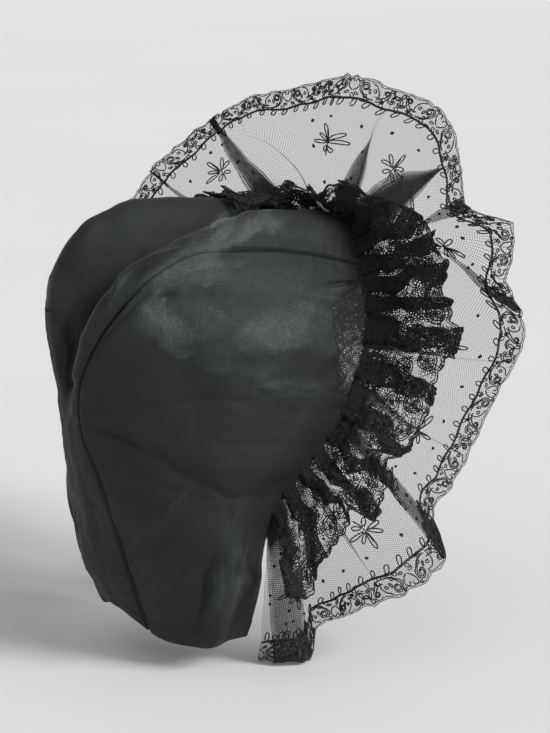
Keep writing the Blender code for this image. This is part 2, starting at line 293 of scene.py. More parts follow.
PANEL_FOLDS = (
    Fold("cheek pull", 0.016, -0.079, -0.050, -0.084, 0.011, 0.0025),
    Fold("crown dimple", 0.081, -0.012, 0.070, -0.022, 0.010, -0.0045),
    Fold("back drag", 0.121, -0.096, 0.070, -0.128, 0.012, -0.0030),
    Fold("neck break", 0.088, -0.140, 0.010, -0.150, 0.014, -0.0055),
    Fold("nape roll", 0.082, -0.151, 0.092, -0.190, 0.012, 0.0030),
    Fold("front pleat", 0.020, -0.182, 0.033, -0.240, 0.010, -0.0050),
    Fold("hem pleat", 0.055, -0.206, 0.064, -0.240, 0.010, -0.0035),
    Fold("front roll", 0.038, -0.185, 0.045, -0.240, 0.013, 0.0050),
)
FRILL = (
    Stand("right end", 0.000, 0.02, -0.14, -0.98, 0.097),
    Stand("tail", 0.028, 0.16, 0.08, -0.98, 0.105),
    Stand("tail fold", 0.052, 0.10, 0.18, -0.95, 0.103),
    Stand("jaw", 0.085, 0.35, 0.16, -0.88, 0.102),
    Stand("jaw lobe", 0.115, 0.58, 0.25, -0.77, 0.108),
    Stand("jaw rim", 0.145, 0.60, 0.38, -0.70, 0.108),
    Stand("jaw notch", 0.172, 0.42, 0.44, -0.66, 0.088),
    Stand("cheek", 0.205, 0.28, 0.66, -0.58, 0.096),
    Stand("cheek lobe", 0.240, 0.32, 0.82, -0.32, 0.097),
    Stand("temple", 0.265, 0.45, 0.82, -0.14, 0.101),
    Stand("temple lobe", 0.290, 0.50, 0.80, -0.05, 0.101),
    Stand("temple notch", 0.312, 0.50, 0.70, 0.10, 0.091),
    Stand("upper temple", 0.335, 0.47, 0.76, 0.20, 0.098),
    Stand("upper lobe", 0.353, 0.52, 0.72, 0.28, 0.100),
    Stand("seam notch", 0.373, 0.34, 0.62, 0.34, 0.086),
    Stand("brow edge", 0.402, 0.20, 0.66, 0.45, 0.090),
    Stand("brow", 0.432, 0.20, 0.58, 0.67, 0.097),
    Stand("brow lobe", 0.465, 0.07, 0.42, 0.82, 0.100),
    Stand("middle", 0.500, 0.00, 0.28, 0.91, 0.102),
    Stand("left brow", 0.542, 0.40, 0.20, 0.72, 0.089),
    Stand("left brow edge", 0.578, 0.68, 0.06, 0.54, 0.091),
    Stand("left seam notch", 0.600, 0.78, 0.00, 0.54, 0.092),
    Stand("left temple lobe", 0.632, 0.88, -0.08, 0.44, 0.098),
    Stand("left temple", 0.665, 0.90, -0.24, 0.39, 0.106),
    Stand("left temple foot", 0.695, 0.90, -0.34, 0.34, 0.107),
    Stand("left cheek notch", 0.730, 0.86, 0.20, 0.10, 0.100),
    Stand("left cheek lobe", 0.765, 0.66, 0.66, -0.08, 0.104),
    Stand("left cheek", 0.805, 0.52, 0.68, -0.35, 0.102),
    Stand("left jaw notch", 0.840, 0.52, 0.50, -0.55, 0.096),
    Stand("left jaw lobe", 0.880, 0.55, 0.34, -0.74, 0.106),
    Stand("left tail fold", 0.945, 0.15, 0.16, -0.94, 0.104),
    Stand("left end", 1.000, 0.02, -0.10, -0.99, 0.098),
)
RUFFLE = (
    Lean("right end", 0.000, 24, 0.042),
    Lean("jaw", 0.090, 26, 0.045),
    Lean("cheek", 0.200, 28, 0.048),
    Lean("temple", 0.300, 27, 0.057),
    Lean("seam", 0.370, 38, 0.056),
    Lean("brow edge", 0.402, 46, 0.052),
    Lean("brow", 0.430, 98, 0.044),
    Lean("right crest", 0.460, 90, 0.050),
    Lean("middle", 0.500, 94, 0.054),
    Lean("left brow", 0.545, 90, 0.052),
    Lean("left brow edge", 0.590, 82, 0.050),
    Lean("left seam", 0.640, 62, 0.052),
    Lean("left temple", 0.700, 27, 0.057),
    Lean("left cheek", 0.800, 28, 0.048),
    Lean("left jaw", 0.910, 26, 0.045),
    Lean("left end", 1.000, 24, 0.042),
)
HANGS = (
    Hang("above the far crest", 200, 112, 0),
    Hang("far crest", 230, 79, 6),
    Hang("far shoulder", 254, 60, 2),
    Hang("far side top", 275, 49, -2),
    Hang("far side", 308, 45, 1),
    Hang("cleft", 350, 50, 7),
    Hang("pinch", 390, 58, 8),
    Hang("below the pinch", 412, 60, 8),
    Hang("back", 450, 64, 3),
    Hang("low back", 490, 68, 1),
    Hang("neck", 530, 74, -4),
    Hang("low neck", 568, 85, -7),
    Hang("nape", 600, 108, -3),
    Hang("hem", 640, 150, 0),
)


def unit(vectors: np.ndarray) -> np.ndarray:
    """Vectors at length one, along the last axis."""
    return vectors / np.maximum(np.linalg.norm(vectors, axis=-1, keepdims=True), 1e-12)


def smooth(value: np.ndarray | float) -> np.ndarray:
    """From 0 to 1 with level ends."""
    value = np.clip(value, 0.0, 1.0)
    return value * value * (3 - 2 * value)


def lengths(line: Line) -> np.ndarray:
    """The distance along a line of points at each of its points."""
    steps = np.linalg.norm(np.diff(line, axis=0), axis=-1)
    return np.concatenate([[0.0], np.cumsum(steps)])


def fine_ends(count: int, pinch: float = 0.7) -> np.ndarray:
    """Fractions from 0 to 1 that lie closer together at both ends.

    Args:
        count: How many steps.
        pinch: From 0, even steps, to 1, none at all at the ends.

    Returns:
        The fractions.
    """
    even = np.linspace(0.0, 1.0, count + 1)
    return even - pinch * np.sin(TURN * even) / TURN


def gaussian(away: np.ndarray, width: float) -> np.ndarray:
    """A soft bump of height 1 and this half width."""
    return np.exp(-((away / width) ** 2))


def ripple(spots: np.ndarray, wavelength: float, seed: int, waves: int = 7) -> np.ndarray:
    """A smooth uneven height between about -1 and 1, made of a few crossing waves.

    Args:
        spots: Points, with any number of measures in the last axis.
        wavelength: The middle wavelength, in the points' own measure.
        seed: Fixes the waves.
        waves: How many cross.

    Returns:
        A height for each point.
    """
    draw = np.random.default_rng(seed)
    total = np.zeros(spots.shape[:-1])
    for _ in range(waves):
        way = unit(draw.normal(size=spots.shape[-1]))
        long = wavelength * draw.uniform(0.6, 1.6)
        total += np.sin(TURN * (spots @ way) / long + draw.uniform(0, TURN))
    return total / math.sqrt(waves)


class Track:
    """A smooth line through rows of numbers, read by the part of its length."""

    def __init__(self, rows: Sequence[Sequence[float]], knots: Sequence[float] | None = None,
                 measured: int = 3) -> None:
        """Sets the rows out along the line.

        Args:
            rows: The rows of numbers.
            knots: Where each row stands, or None for its distance along the line.
            measured: How many of the first numbers give that distance.
        """
        self.values = np.array(rows, float)
        self.knots = lengths(self.values[:, :measured]) if knots is None else np.array(knots, float)
        self.length = self.knots[-1]
        self.knots = self.knots / self.length
        self.slopes = np.gradient(self.values, self.knots, axis=0)

    def at(self, part: np.ndarray | float) -> np.ndarray:
        """The row of numbers at each place.

        Args:
            part: Parts of the length, from 0 to 1.

        Returns:
            The rows.
        """
        part = np.clip(np.asarray(part, float), 0.0, 1.0)
        index = np.clip(np.searchsorted(self.knots, part, side="right") - 1, 0, len(self.knots) - 2)
        span = (self.knots[index + 1] - self.knots[index])[..., None]
        t = (part - self.knots[index])[..., None] / span
        first = (2 * t**3 - 3 * t**2 + 1) * self.values[index]
        second = (3 * t**2 - 2 * t**3) * self.values[index + 1]
        leaving = (t**3 - 2 * t**2 + t) * span * self.slopes[index]
        arriving = (t**3 - t**2) * span * self.slopes[index + 1]
        return first + second + leaving + arriving

    def heading(self, part: np.ndarray | float, step: float = 0.002) -> np.ndarray:
        """The unit direction of the line there."""
        part = np.asarray(part, float)
        return unit(self.at(np.minimum(part + step, 1.0)) - self.at(np.maximum(part - step, 0.0)))


def turn_track(rows: Sequence[Turn]) -> Track:
    """The line through an outline's turns."""
    return Track([(row.x, row.y, row.z) for row in rows])


@dataclass
class HoodPattern:
    """The hood's form: the crown strip's valley and crests, and the two side panels."""

    corner: float = 0.49
    nape_arch: float = 0.040
    nape_from: float = 0.80
    seat_at: float = 0.1836
    satin: float = 0.0012
    fullness: float = 0.024
    fullness_along: float = 0.80
    fullness_up: float = 0.75
    wedge_top: float = -0.018
    wedge_widest: float = -0.032
    wedge_foot: float = -0.094
    wedge_width: float = 0.035
    wedge_splay: float = 0.04
    hang_reach: float = 34.0
    left_lift: float = 0.012
    lift_from: float = -0.100
    lift_fall: float = 0.150
    lift_spread: float = 0.060
    crown_track: Track = field(init=False)
    face: Track = field(init=False)
    neck: Track = field(init=False)
    seat: np.ndarray = field(init=False)

    def __post_init__(self) -> None:
        """Lays out the tracks and finds the head seat."""
        rows = [(s.y, s.z, s.seam_x, s.crest_x, s.right, s.middle, s.left) for s in CROWN]
        self.crown_track = Track(rows, measured=2)
        self.face = turn_track(FACE_EDGE)
        self.neck = turn_track(NECK_EDGE)
        top = self.crown(np.array(self.seat_at), np.array(0.0))
        self.seat = top - np.array((0.0, 0.0, self.satin / 2))

    def crown(self, along: np.ndarray, across: np.ndarray) -> np.ndarray:
        """Points of the crown strip.

        Args:
            along: From the face edge (0) to the nape (1).
            across: From the right seam (-1) to the left seam (1).

        Returns:
            The points.
        """
        rise_of_nape = smooth((along - self.nape_from) / (1 - self.nape_from))
        along = along - self.nape_arch * (1 - across**2) * rise_of_nape
        y, z, seam_x, crest_x, right, middle, left = np.moveaxis(self.crown_track.at(along), -1, 0)
        ahead = self.crown_track.at(np.minimum(along + 0.01, 1.0))
        heading = unit(ahead[..., :2] - self.crown_track.at(np.maximum(along - 0.01, 0.0))[..., :2])
        crest = np.where(across < 0, right, left)
        side = np.abs(across)
        outer = np.clip((1 - side) * 2, 0, 1)
        inner = np.clip(side * 2, 0, 1)
        past = side > 0.5
        x = np.where(past, seam_x + (crest_x - seam_x) * outer, crest_x * inner)
        dome = middle + (crest - middle) * (1 - np.cos(math.pi * inner)) / 2
        rise = np.where(past, crest * np.sin(math.pi / 2 * outer), dome)
        return np.stack([np.sign(across) * x, y - heading[..., 1] * rise, z + heading[..., 0] * rise], -1)

    def seam(self, along: np.ndarray) -> np.ndarray:
        """Points of the seam between strip and panel, as distances from the middle plane."""
        rows = self.crown_track.at(along)
        return np.stack([rows[..., 2], rows[..., 0], rows[..., 1]], -1)

    def satin_edge(self, up: np.ndarray) -> np.ndarray:
        """The panel's front edge, which leaves the net wedge open.

        Args:
            up: From the front corner (0) to the strip seam (1).

        Returns:
            The points.
        """
        point = self.face.at(1 - np.asarray(up, float))
        z = point[..., 2]
        above = np.sqrt(smooth((self.wedge_top - z) / (self.wedge_top - self.wedge_widest)))
        below = np.clip((z - self.wedge_foot) / (self.wedge_widest - self.wedge_foot), 0, 1)
        depth = self.wedge_width * np.where(z > self.wedge_widest, above, np.sqrt(1 - (1 - below) ** 2))
        return point + np.stack([self.wedge_splay * depth, depth, 0 * depth], -1)

    def panel(self, along: np.ndarray, up: np.ndarray) -> np.ndarray:
        """Points of a side panel, as distances from the middle plane.

        Args:
            along: From the face edge (0) to the back seam (1).
            up: From the hem (0) to the crown seam (1).

        Returns:
            The points.
        """
        front, back = self.satin_edge(up), self.seam(1 - (1 - self.corner) * up)
        below, above = self.neck.at(along), self.seam(self.corner * along)
        a, b = along[..., None], up[..., None]
        corners = (
            (1 - a) * (1 - b) * self.satin_edge(np.array(0.0))
            + (1 - a) * b * self.satin_edge(np.array(1.0))
            + a * (1 - b) * self.neck.at(1.0)
            + a * b * self.seam(np.array(self.corner))
        )
        point = (1 - a) * front + a * back + (1 - b) * below + b * above - corners
        full_along = np.sin(math.pi * np.clip(along, 0, 1)) ** self.fullness_along
        full_up = np.sin(math.pi * np.clip(up, 0, 1)) ** self.fullness_up
        point[..., 0] += self.fullness * full_along * full_up
        point[..., 0] += folded(point, PANEL_FOLDS) * smooth((1 - along) / 0.14) * smooth((1 - up) / 0.12)
        return point

    def settle(self, spots: np.ndarray) -> np.ndarray:
        """Moves points from the tables' measures to the head seat's, with the far side hung as it shows.

        Args:
            spots: Points in the tables' measures.

        Returns:
            The settled points.
        """
        spots = np.array(spots, float)
        x, z = spots[..., 0], spots[..., 2]
        lift = self.left_lift * smooth(x / self.lift_spread) * smooth((self.lift_from - z) / self.lift_fall)
        spots[..., 2] += lift
        spots = spots - self.seat * np.array((0.0, 1.0, 1.0))
        at = VIEW.pixels(spots)
        rows = [row.py for row in HANGS]
        inward = np.interp(at[..., 1], rows, [row.inward for row in HANGS])
        edge = np.interp(at[..., 1], rows, [row.px - row.inward for row in HANGS])
        inward = inward * (1 - smooth((at[..., 0] - edge) / self.hang_reach)) * VIEW.metres_per_pixel
        return spots + VIEW.axes()[1] * inward[..., None]


def folded(spots: np.ndarray, folds: Sequence[Fold]) -> np.ndarray:
    """The height of straight folds in side view.

    Args:
        spots: Points of a side panel.
        folds: The folds.

    Returns:
        The height at each point.
    """
    total = np.zeros(spots.shape[:-1])
    for fold in folds:
        line = np.array((fold.y1 - fold.y0, fold.z1 - fold.z0))
        length = np.linalg.norm(line)
        off_y, off_z = spots[..., 1] - fold.y0, spots[..., 2] - fold.z0
        run = (off_y * line[0] + off_z * line[1]) / length
        away = np.abs(off_y * line[1] - off_z * line[0]) / length
        past = np.maximum(np.maximum(-run, run - length), 0.0)
        total += fold.height * gaussian(away, fold.width) * gaussian(past, fold.width)
    return total


def creased(settled: np.ndarray, creases: Sequence[Crease]) -> np.ndarray:
    """The height of the creases that the photograph shows, each a little crooked and weak at its ends.

    Args:
        settled: Settled points.
        creases: The creases.

    Returns:
        The height at each point.
    """
    at = VIEW.pixels(settled)
    crooked, bend = 2.4, 46.0
    at = at + crooked * np.stack([ripple(at, bend, seed, 5) for seed in (61, 62)], -1)
    total = np.zeros(at.shape[:-1])
    for crease in creases:
        start = np.array((crease.px0, crease.py0))
        line = np.array((crease.px1, crease.py1)) - start
        length = np.linalg.norm(line)
        run = (at - start) @ line / length
        away = np.abs((at - start) @ np.array((line[1], -line[0]))) / length
        past = np.maximum(np.maximum(-run, run - length), 0.0)
        taper = 0.30 + 0.70 * np.sin(math.pi * np.clip(run / length, 0, 1))
        total += crease.height * taper * gaussian(away, crease.width) * gaussian(past, crease.width * 1.6)
    return total


def painted_sheen(settled: np.ndarray, sheen_patches: Sequence[SheenPatch]) -> np.ndarray:
    """How much painted sheen the satin takes, in patches with blunt ends and ragged, soft edges.

    Args:
        settled: Settled points.
        sheen_patches: The patches.

    Returns:
        From 0 to 1 at each point.
    """
    at = VIEW.pixels(settled)
    for ragged, size, seeds in ((4.0, 30.0, (63, 64)), (1.2, 7.0, (65, 66))):
        at = at + ragged * np.stack([ripple(at, size, seed, 6) for seed in seeds], -1)
    blunt, edge = 2.6, 0.62
    kept = np.ones(at.shape[:-1])
    for sheen_patch in sheen_patches:
        angle = math.radians(sheen_patch.degrees)
        away = at - np.array((sheen_patch.px, sheen_patch.py))
        run = away @ np.array((math.cos(angle), math.sin(angle))) / sheen_patch.long
        side = away @ np.array((-math.sin(angle), math.cos(angle))) / sheen_patch.wide
        far = (np.abs(run) ** blunt + np.abs(side) ** blunt) ** (1 / blunt)
        kept *= 1 - sheen_patch.amount * (1 - smooth((far - edge) / edge))
    return 1 - kept


def facing(grid: Grid) -> Grid:
    """The unit normals of a grid of points."""
    return unit(np.cross(np.gradient(grid, axis=1), np.gradient(grid, axis=0)))


def turned_in(grid: Grid, out: Grid, axis: int, last: bool, slant: float = 0.4,
              depth: float = 0.0034) -> Grid:
    """The grid with a turning added at one edge, which runs into the bonnet behind the seam.

    Args:
        grid: The points.
        out: The outward normals.
        axis: 0 for an edge of rows, 1 for an edge of columns.
        last: Whether it is the last row or column.
        slant: How far it runs back under its own piece, or below 0 on under the next one.
        depth: How far the turning runs in.

    Returns:
        The wider grid.
    """
    index = -1 if last else 0
    edge, normal = np.take(grid, [index], axis=axis), np.take(out, [index], axis=axis)
    nearby = np.take(grid, [-3 if last else 2], axis=axis)
    back = unit(nearby - edge)
    rows = [edge - normal * depth * part + back * depth * slant * part for part in (0.25, 0.6, 1.0)]
    parts = [grid, *rows] if last else [*rows[::-1], grid]
    return np.concatenate(parts, axis=axis)


def edge_gap(grid: Grid, axis: int, last: bool) -> np.ndarray:
    """How far each point of a grid lies from one of its edges, measured along the cloth.

    Args:
        grid: The points.
        axis: 0 for an edge of rows, 1 for an edge of columns.
        last: Whether it is the last row or column.

    Returns:
        The distances.
    """
    ordered = np.flip(grid, axis) if last else grid
    steps = np.linalg.norm(np.diff(ordered, axis=axis), axis=-1)
    start = np.zeros_like(np.take(steps, [0], axis=axis))
    gap = np.concatenate([start, np.cumsum(steps, axis=axis)], axis=axis)
    return np.flip(gap, axis) if last else gap


def placed(name: str, data: bpy.types.ID) -> bpy.types.Object:
    """A new object in the scene.

    Args:
        name: Its name.
        data: Its mesh, light or camera.

    Returns:
        The object.
    """
    made = bpy.data.objects.new(name, data)
    bpy.context.scene.collection.objects.link(made)
    return made


def quads(index: np.ndarray) -> np.ndarray:
    """The faces between rows of points, by their numbers."""
    return np.stack([index[:-1, :-1], index[:-1, 1:], index[1:, 1:], index[1:, :-1]], -1).reshape(-1, 4)


def mesh_object(name: str, spots: np.ndarray, faces: np.ndarray,
                finish: bpy.types.Material) -> bpy.types.Object:
    """A smooth piece.

    Args:
        name: Its name.
        spots: Its points.
        faces: Its faces.
        finish: Its material.

    Returns:
        The piece.
    """
    mesh = bpy.data.meshes.new(name)
    mesh.from_pydata(spots.reshape(-1, 3).tolist(), [], faces.tolist())
    mesh.materials.append(finish)
    mesh.shade_smooth()
    mesh.update()
    return placed(name, mesh)


def grid_object(name: str, grid: Grid, finish: bpy.types.Material, uv: Grid | None = None,
                weights: dict[str, np.ndarray] | None = None) -> bpy.types.Object:
    """A smooth sheet through a grid of points.

    Args:
        name: The piece's name.
        grid: Rows of points.
        finish: Its material.
        uv: The cloth's own flat measures at each point, in metres, or None.
        weights: Named numbers at each point for the material, or None.

    Returns:
        The piece.
    """
    rows, columns = grid.shape[:2]
    faces = quads(np.arange(rows * columns).reshape(rows, columns))
    piece = mesh_object(name, grid, faces, finish)
    if uv is not None:
        layer = piece.data.uv_layers.new(name="cloth")
        layer.data.foreach_set("uv", uv.reshape(-1, 2)[faces.reshape(-1)].astype(np.float32).ravel())
    for label, values in (weights or {}).items():
        attribute = piece.data.attributes.new(label, "FLOAT", "POINT")
        attribute.data.foreach_set("value", values.astype(np.float32).ravel())
    return piece


def thicken(piece: bpy.types.Object, thickness: float) -> None:
    """Gives a sheet its wall, on its inner side.

    Args:
        piece: The sheet.
        thickness: The wall's, in metres.
    """
    wall = piece.modifiers.new("wall", "SOLIDIFY")
    wall.thickness = thickness
    wall.offset = -1.0


def hand_over(piece: bpy.types.Object, slot: str, *nodes: str) -> bpy.types.Object:
    """Gives a piece to the frame.

    Args:
        piece: What rides on the bonnet's body.
        slot: Not used.
        nodes: The solids that it stands for.

    Returns:
        The piece.
    """
    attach(piece, "root")
    if nodes:
        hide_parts(*nodes)
    LOG.info("%s: %d faces", piece.name, len(piece.data.polygons))
    return piece


class Wiring:
    """A material's nodes, made and joined in short calls."""

    def __init__(self, name: str) -> None:
        """Starts a material with a bare Principled shader.

        Args:
            name: The material's name.
        """
        self.material = bpy.data.materials.new(name)
        self.material.use_nodes = True
        self.shader = self.material.node_tree.nodes["Principled BSDF"]

    def feed(self, node: bpy.types.Node, inputs: dict[str | int, object]) -> None:
        """Joins or sets a node's inputs.

        Args:
            node: The node.
            inputs: What each input takes: another node's output, a number or a row of numbers.
        """
        for name, value in inputs.items():
            if isinstance(value, bpy.types.NodeSocket):
                self.material.node_tree.links.new(value, node.inputs[name])
            else:
                node.inputs[name].default_value = value

    def node(self, kind: str, inputs: dict[str | int, object] | None = None, out: str | int = 0,
             **settings: object) -> Socket:
        """A new node's output.

        Args:
            kind: The node's type, after the word that all of them start with.
            inputs: What its inputs take.
            out: Which output.
            settings: The node's own settings.

        Returns:
            The output.
        """
        made = self.material.node_tree.nodes.new("ShaderNode" + kind)
        for key, value in settings.items():
            setattr(made, key, value)
        self.feed(made, inputs or {})
        return made.outputs[out]

    def sums(self, operation: str, *terms: Socket | float) -> Socket:
        """What a Math node makes of these terms."""
        return self.node("Math", dict(enumerate(terms)), operation=operation)

    def blend(self, *shares: tuple[Socket, float]) -> Socket:
        """The sum of some values, each times its share.

        Args:
            shares: Each value with its share.

        Returns:
            The sum.
        """
        total, *others = [self.sums("MULTIPLY", value, share) for value, share in reversed(shares)]
        for part in others:
            total = self.sums("ADD", part, total)
        return total

    def weight(self, name: str) -> Socket:
        """The named numbers on a piece's points."""
        return self.node("Attribute", out="Fac", attribute_name=name)

    def ramp(self, value: Socket, low: float, high: float, at_low: float, at_high: float) -> Socket:
        """A value carried smoothly from one range to another.

        Args:
            value: The value.
            low: Where its range begins.
            high: Where its range ends.
            at_low: What comes out at or below low.
            at_high: What comes out at or above high.

        Returns:
            The new value.
        """
        ends = {"Value": value, "From Min": low, "From Max": high, "To Min": at_low, "To Max": at_high}
        return self.node("MapRange", ends, "Result", interpolation_type="SMOOTHSTEP")

    def tint(self, value: Socket, dark: Colour, pale: Colour) -> Socket:
        """A colour between two, by a value from 0 to 1."""
        ends = {"Factor": value, "A": (*dark, 1.0), "B": (*pale, 1.0)}
        return self.node("Mix", ends, "Result", data_type="RGBA")

    def dress(self, bump: Socket | None = None, depth: float = 0.0, **inputs: object) -> bpy.types.Material:
        """Sets the shader.

        Args:
            bump: A height pressed into the surface, or None.
            depth: How deep it goes, in metres.
            inputs: What the shader's inputs take, with _ for each space in a name.

        Returns:
            The material.
        """
        self.feed(self.shader, {name.replace("_", " "): value for name, value in inputs.items()})
        if bump is not None:
            normal = self.node("Bump", {"Distance": depth, "Height": bump}, "Normal")
            self.feed(self.shader, {"Normal": normal})
        return self.material


@dataclass(frozen=True)
class SatinFinish:
    """Black silk satin, whose sheen comes partly from its smooth face and partly from a painted sheen, a pale
    grey in its colour.

    The grain is made of slubs along the two ways of the thread. The tone adds up cloud, grain and weave, and
    the relief weave, grain and cloud, each with its share.
    """

    name: str = "black_satin"
    dark: Colour = (0.0090, 0.0110, 0.0086)
    # The pale grey of the painted sheen, which the random mottle also reaches a little way towards.
    mottle_and_sheen_grey: Colour = (0.0470, 0.0518, 0.0540)
    slick: float = 0.31
    dull: float = 0.56
    thread: float = 0.00042
    slub: float = 0.0034
    cloud: float = 0.026
    # How far the satin outside the sheen patches goes towards that grey, as random mottle.
    bare_mottle: float = 0.045
    tone: tuple[float, float, float] = (0.36, 0.44, 0.20)
    tone_from: tuple[float, float] = (0.41, 0.59)
    tone_to: tuple[float, float] = (0.45, 1.45)
    relief: tuple[float, float, float] = (0.50, 1.5, 0.8)
    depth: float = 0.00042
    grain_rough: float = 0.58
    slick_at: float = 0.8
    mirror: float = 0.27
    mirror_tint: Colour = (0.90, 0.98, 1.0)
    sheen: float = 0.012
    sheen_rough: float = 0.45
    sheen_tint: Colour = (0.80, 0.90, 0.93)

    def noise(self, w: Wiring, place: Socket, size: float, detail: float,
              stretch: tuple[float, float, float] = (1.0, 1.0, 1.0)) -> Socket:
        """Uneven tone of this grain size.

        Args:
            w: The material.
            place: Where the surface is.
            size: The size of the grain, in metres.
            detail: How many finer grains are added.
            stretch: How the grain is squeezed along each axis.

        Returns:
            The tone, from 0 to 1.
        """
        grain = {"Vector": w.node("Mapping", {"Vector": place, "Scale": stretch}), "Scale": 1 / size,
                 "Detail": detail, "Roughness": self.grain_rough}
        return w.node("TexNoise", grain, "Fac")

    def make(self) -> bpy.types.Material:
        """The satin's material.

        Returns:
            The material.
        """
        w = Wiring(self.name)
        place = w.node("TexCoord", out="Object")
        cloud = self.noise(w, place, self.cloud, 5.0)
        slub = self.noise(w, place, self.slub, 3.0, (0.5, 0.5, 3.2))
        warp = self.noise(w, place, self.slub, 3.0, (2.6, 2.6, 0.4))
        weave = self.noise(w, place, self.thread, 1.0, (1.0, 1.0, 1.6))
        grain = w.blend((slub, 0.5), (warp, 0.5))
        tone = w.blend(*zip((cloud, grain, weave), self.tone))
        # Painted sheen: the sheen patches turn the colour pale grey and the face smoother.
        sheen_and_mottle_level = w.sums("ADD", w.weight("sheen_patch"), self.bare_mottle)
        patch = w.sums("MULTIPLY", sheen_and_mottle_level, w.ramp(tone, *self.tone_from, *self.tone_to))
        patch = w.sums("MINIMUM", patch, 1.0)
        relief = w.blend(*zip((weave, grain, cloud), self.relief))
        return w.dress(relief, self.depth, Base_Color=w.tint(patch, self.dark, self.mottle_and_sheen_grey),
                       Roughness=w.ramp(patch, 0.0, self.slick_at, self.dull, self.slick),
                       Specular_IOR_Level=self.mirror, Specular_Tint=(*self.mirror_tint, 1.0),
                       Sheen_Weight=self.sheen, Sheen_Roughness=self.sheen_rough,
                       Sheen_Tint=(*self.sheen_tint, 1.0))


@dataclass(frozen=True)
class NetFinish:
    """Net of six-sided meshes in black cotton thread, which closes up where it is gathered or folded; in the
    folds the closing is partly painted shade.
    """

    name: str = "fine_net"
    mesh: float = 0.00130
    wires: float = -0.62
    soft: float = 0.40
    strength: float = 0.66
    filled: float = 0.96
    colour: Colour = (0.008, 0.008, 0.009)
    rough: float = 0.75
    mirror: float = 0.25

    def make(self) -> bpy.types.Material:
        """The net's material, open between its wires.

        Returns:
            The material.
        """
        w = Wiring(self.name)
        flat = w.node("UVMap", out="UV", uv_map="cloth")
        waves = []
        for angle in np.radians((0.0, 60.0, 120.0)):
            way = (TURN / self.mesh * math.cos(angle), TURN / self.mesh * math.sin(angle), 0)
            run = w.node("VectorMath", {0: flat, 1: way}, "Value", operation="DOT_PRODUCT")
            waves.append(w.sums("COSINE", run))
        meshes = w.sums("ADD", w.sums("ADD", waves[0], waves[1]), waves[2])
        wire = w.ramp(meshes, self.wires - self.soft, self.wires + self.soft, 1.0, 0.0)
        close = w.sums("MINIMUM", w.weight("gathers"), 1.0)
        thick = w.sums("MULTIPLY", wire, w.ramp(close, 0.0, 1.0, self.strength, 1.0))
        filled = w.sums("MULTIPLY", w.sums("MULTIPLY", close, close), self.filled)
        return w.dress(Alpha=w.sums("MAXIMUM", thick, filled), Base_Color=(*self.colour, 1.0),
                       Roughness=self.rough, Specular_IOR_Level=self.mirror)


@dataclass(frozen=True)
class WebFinish:
    """An uneven web of thick threads: the ruffle's dense lace, or with other sizes the coarse net."""

    name: str = "ruffle_lace"
    cell: float = 0.0017
    uneven: float = 0.85
    wires: float = 0.142
    soft: float = 0.06
    gathered: float = 0.36
    patch: float = 0.110
    patch_cells: float = 4.5
    dark: Colour = (0.0035, 0.0035, 0.0037)
    pale: Colour = (0.0320, 0.0335, 0.0330)
    depth: float = 0.0005
    flattened: float = 0.22
    rough: float = 0.8
    mirror: float = 0.25

    def make(self) -> bpy.types.Material:
        """The web's material, open between its threads.

        Returns:
            The material.
        """
        w = Wiring(self.name)
        flat = w.node("UVMap", out="UV", uv_map="cloth")
        cells = w.node("TexVoronoi", {"Vector": flat, "Scale": 1 / self.cell, "Randomness": self.uneven},
                       "Distance", feature="DISTANCE_TO_EDGE", voronoi_dimensions="2D")
        patches = {"Vector": flat, "Scale": 1 / (self.patch_cells * self.cell), "Detail": 3.0}
        patches = w.node("TexNoise", patches, "Fac", noise_dimensions="2D")
        close = w.weight("gathers")
        thick = w.sums("ADD", w.ramp(patches, 0.35, 0.65, -self.patch, self.patch),
                       w.sums("MULTIPLY", close, self.gathered))
        drawn = w.sums("SUBTRACT", cells, thick)
        raised = w.sums("MULTIPLY", w.ramp(cells, 0.02, 0.30, 1.0, 0.0),
                        w.ramp(close, 0.05, 0.55, 1.0, self.flattened))
        return w.dress(raised, self.depth, Base_Color=w.tint(raised, self.dark, self.pale),
                       Alpha=w.ramp(drawn, self.wires - self.soft, self.wires + self.soft, 1.0, 0.0),
                       Roughness=self.rough, Specular_IOR_Level=self.mirror)


@dataclass(frozen=True)
class ThreadFinish:
    """Twisted black embroidery thread."""

    name: str
    twist: float = 0.0009
    dark: Colour = (0.006, 0.006, 0.008)
    pale: Colour = (0.020, 0.020, 0.024)
    depth: float = 0.0002
    rough: float = 0.7
    mirror: float = 0.3

    def make(self) -> bpy.types.Material:
        """The thread's material.

        Returns:
            The material.
        """
        w = Wiring(self.name)
        place = w.node("TexCoord", out="Object")
        fibre = w.node("TexNoise", {"Vector": place, "Scale": 1 / self.twist}, "Fac")
        return w.dress(fibre, self.depth, Base_Color=w.tint(fibre, self.dark, self.pale),
                       Roughness=self.rough, Specular_IOR_Level=self.mirror)


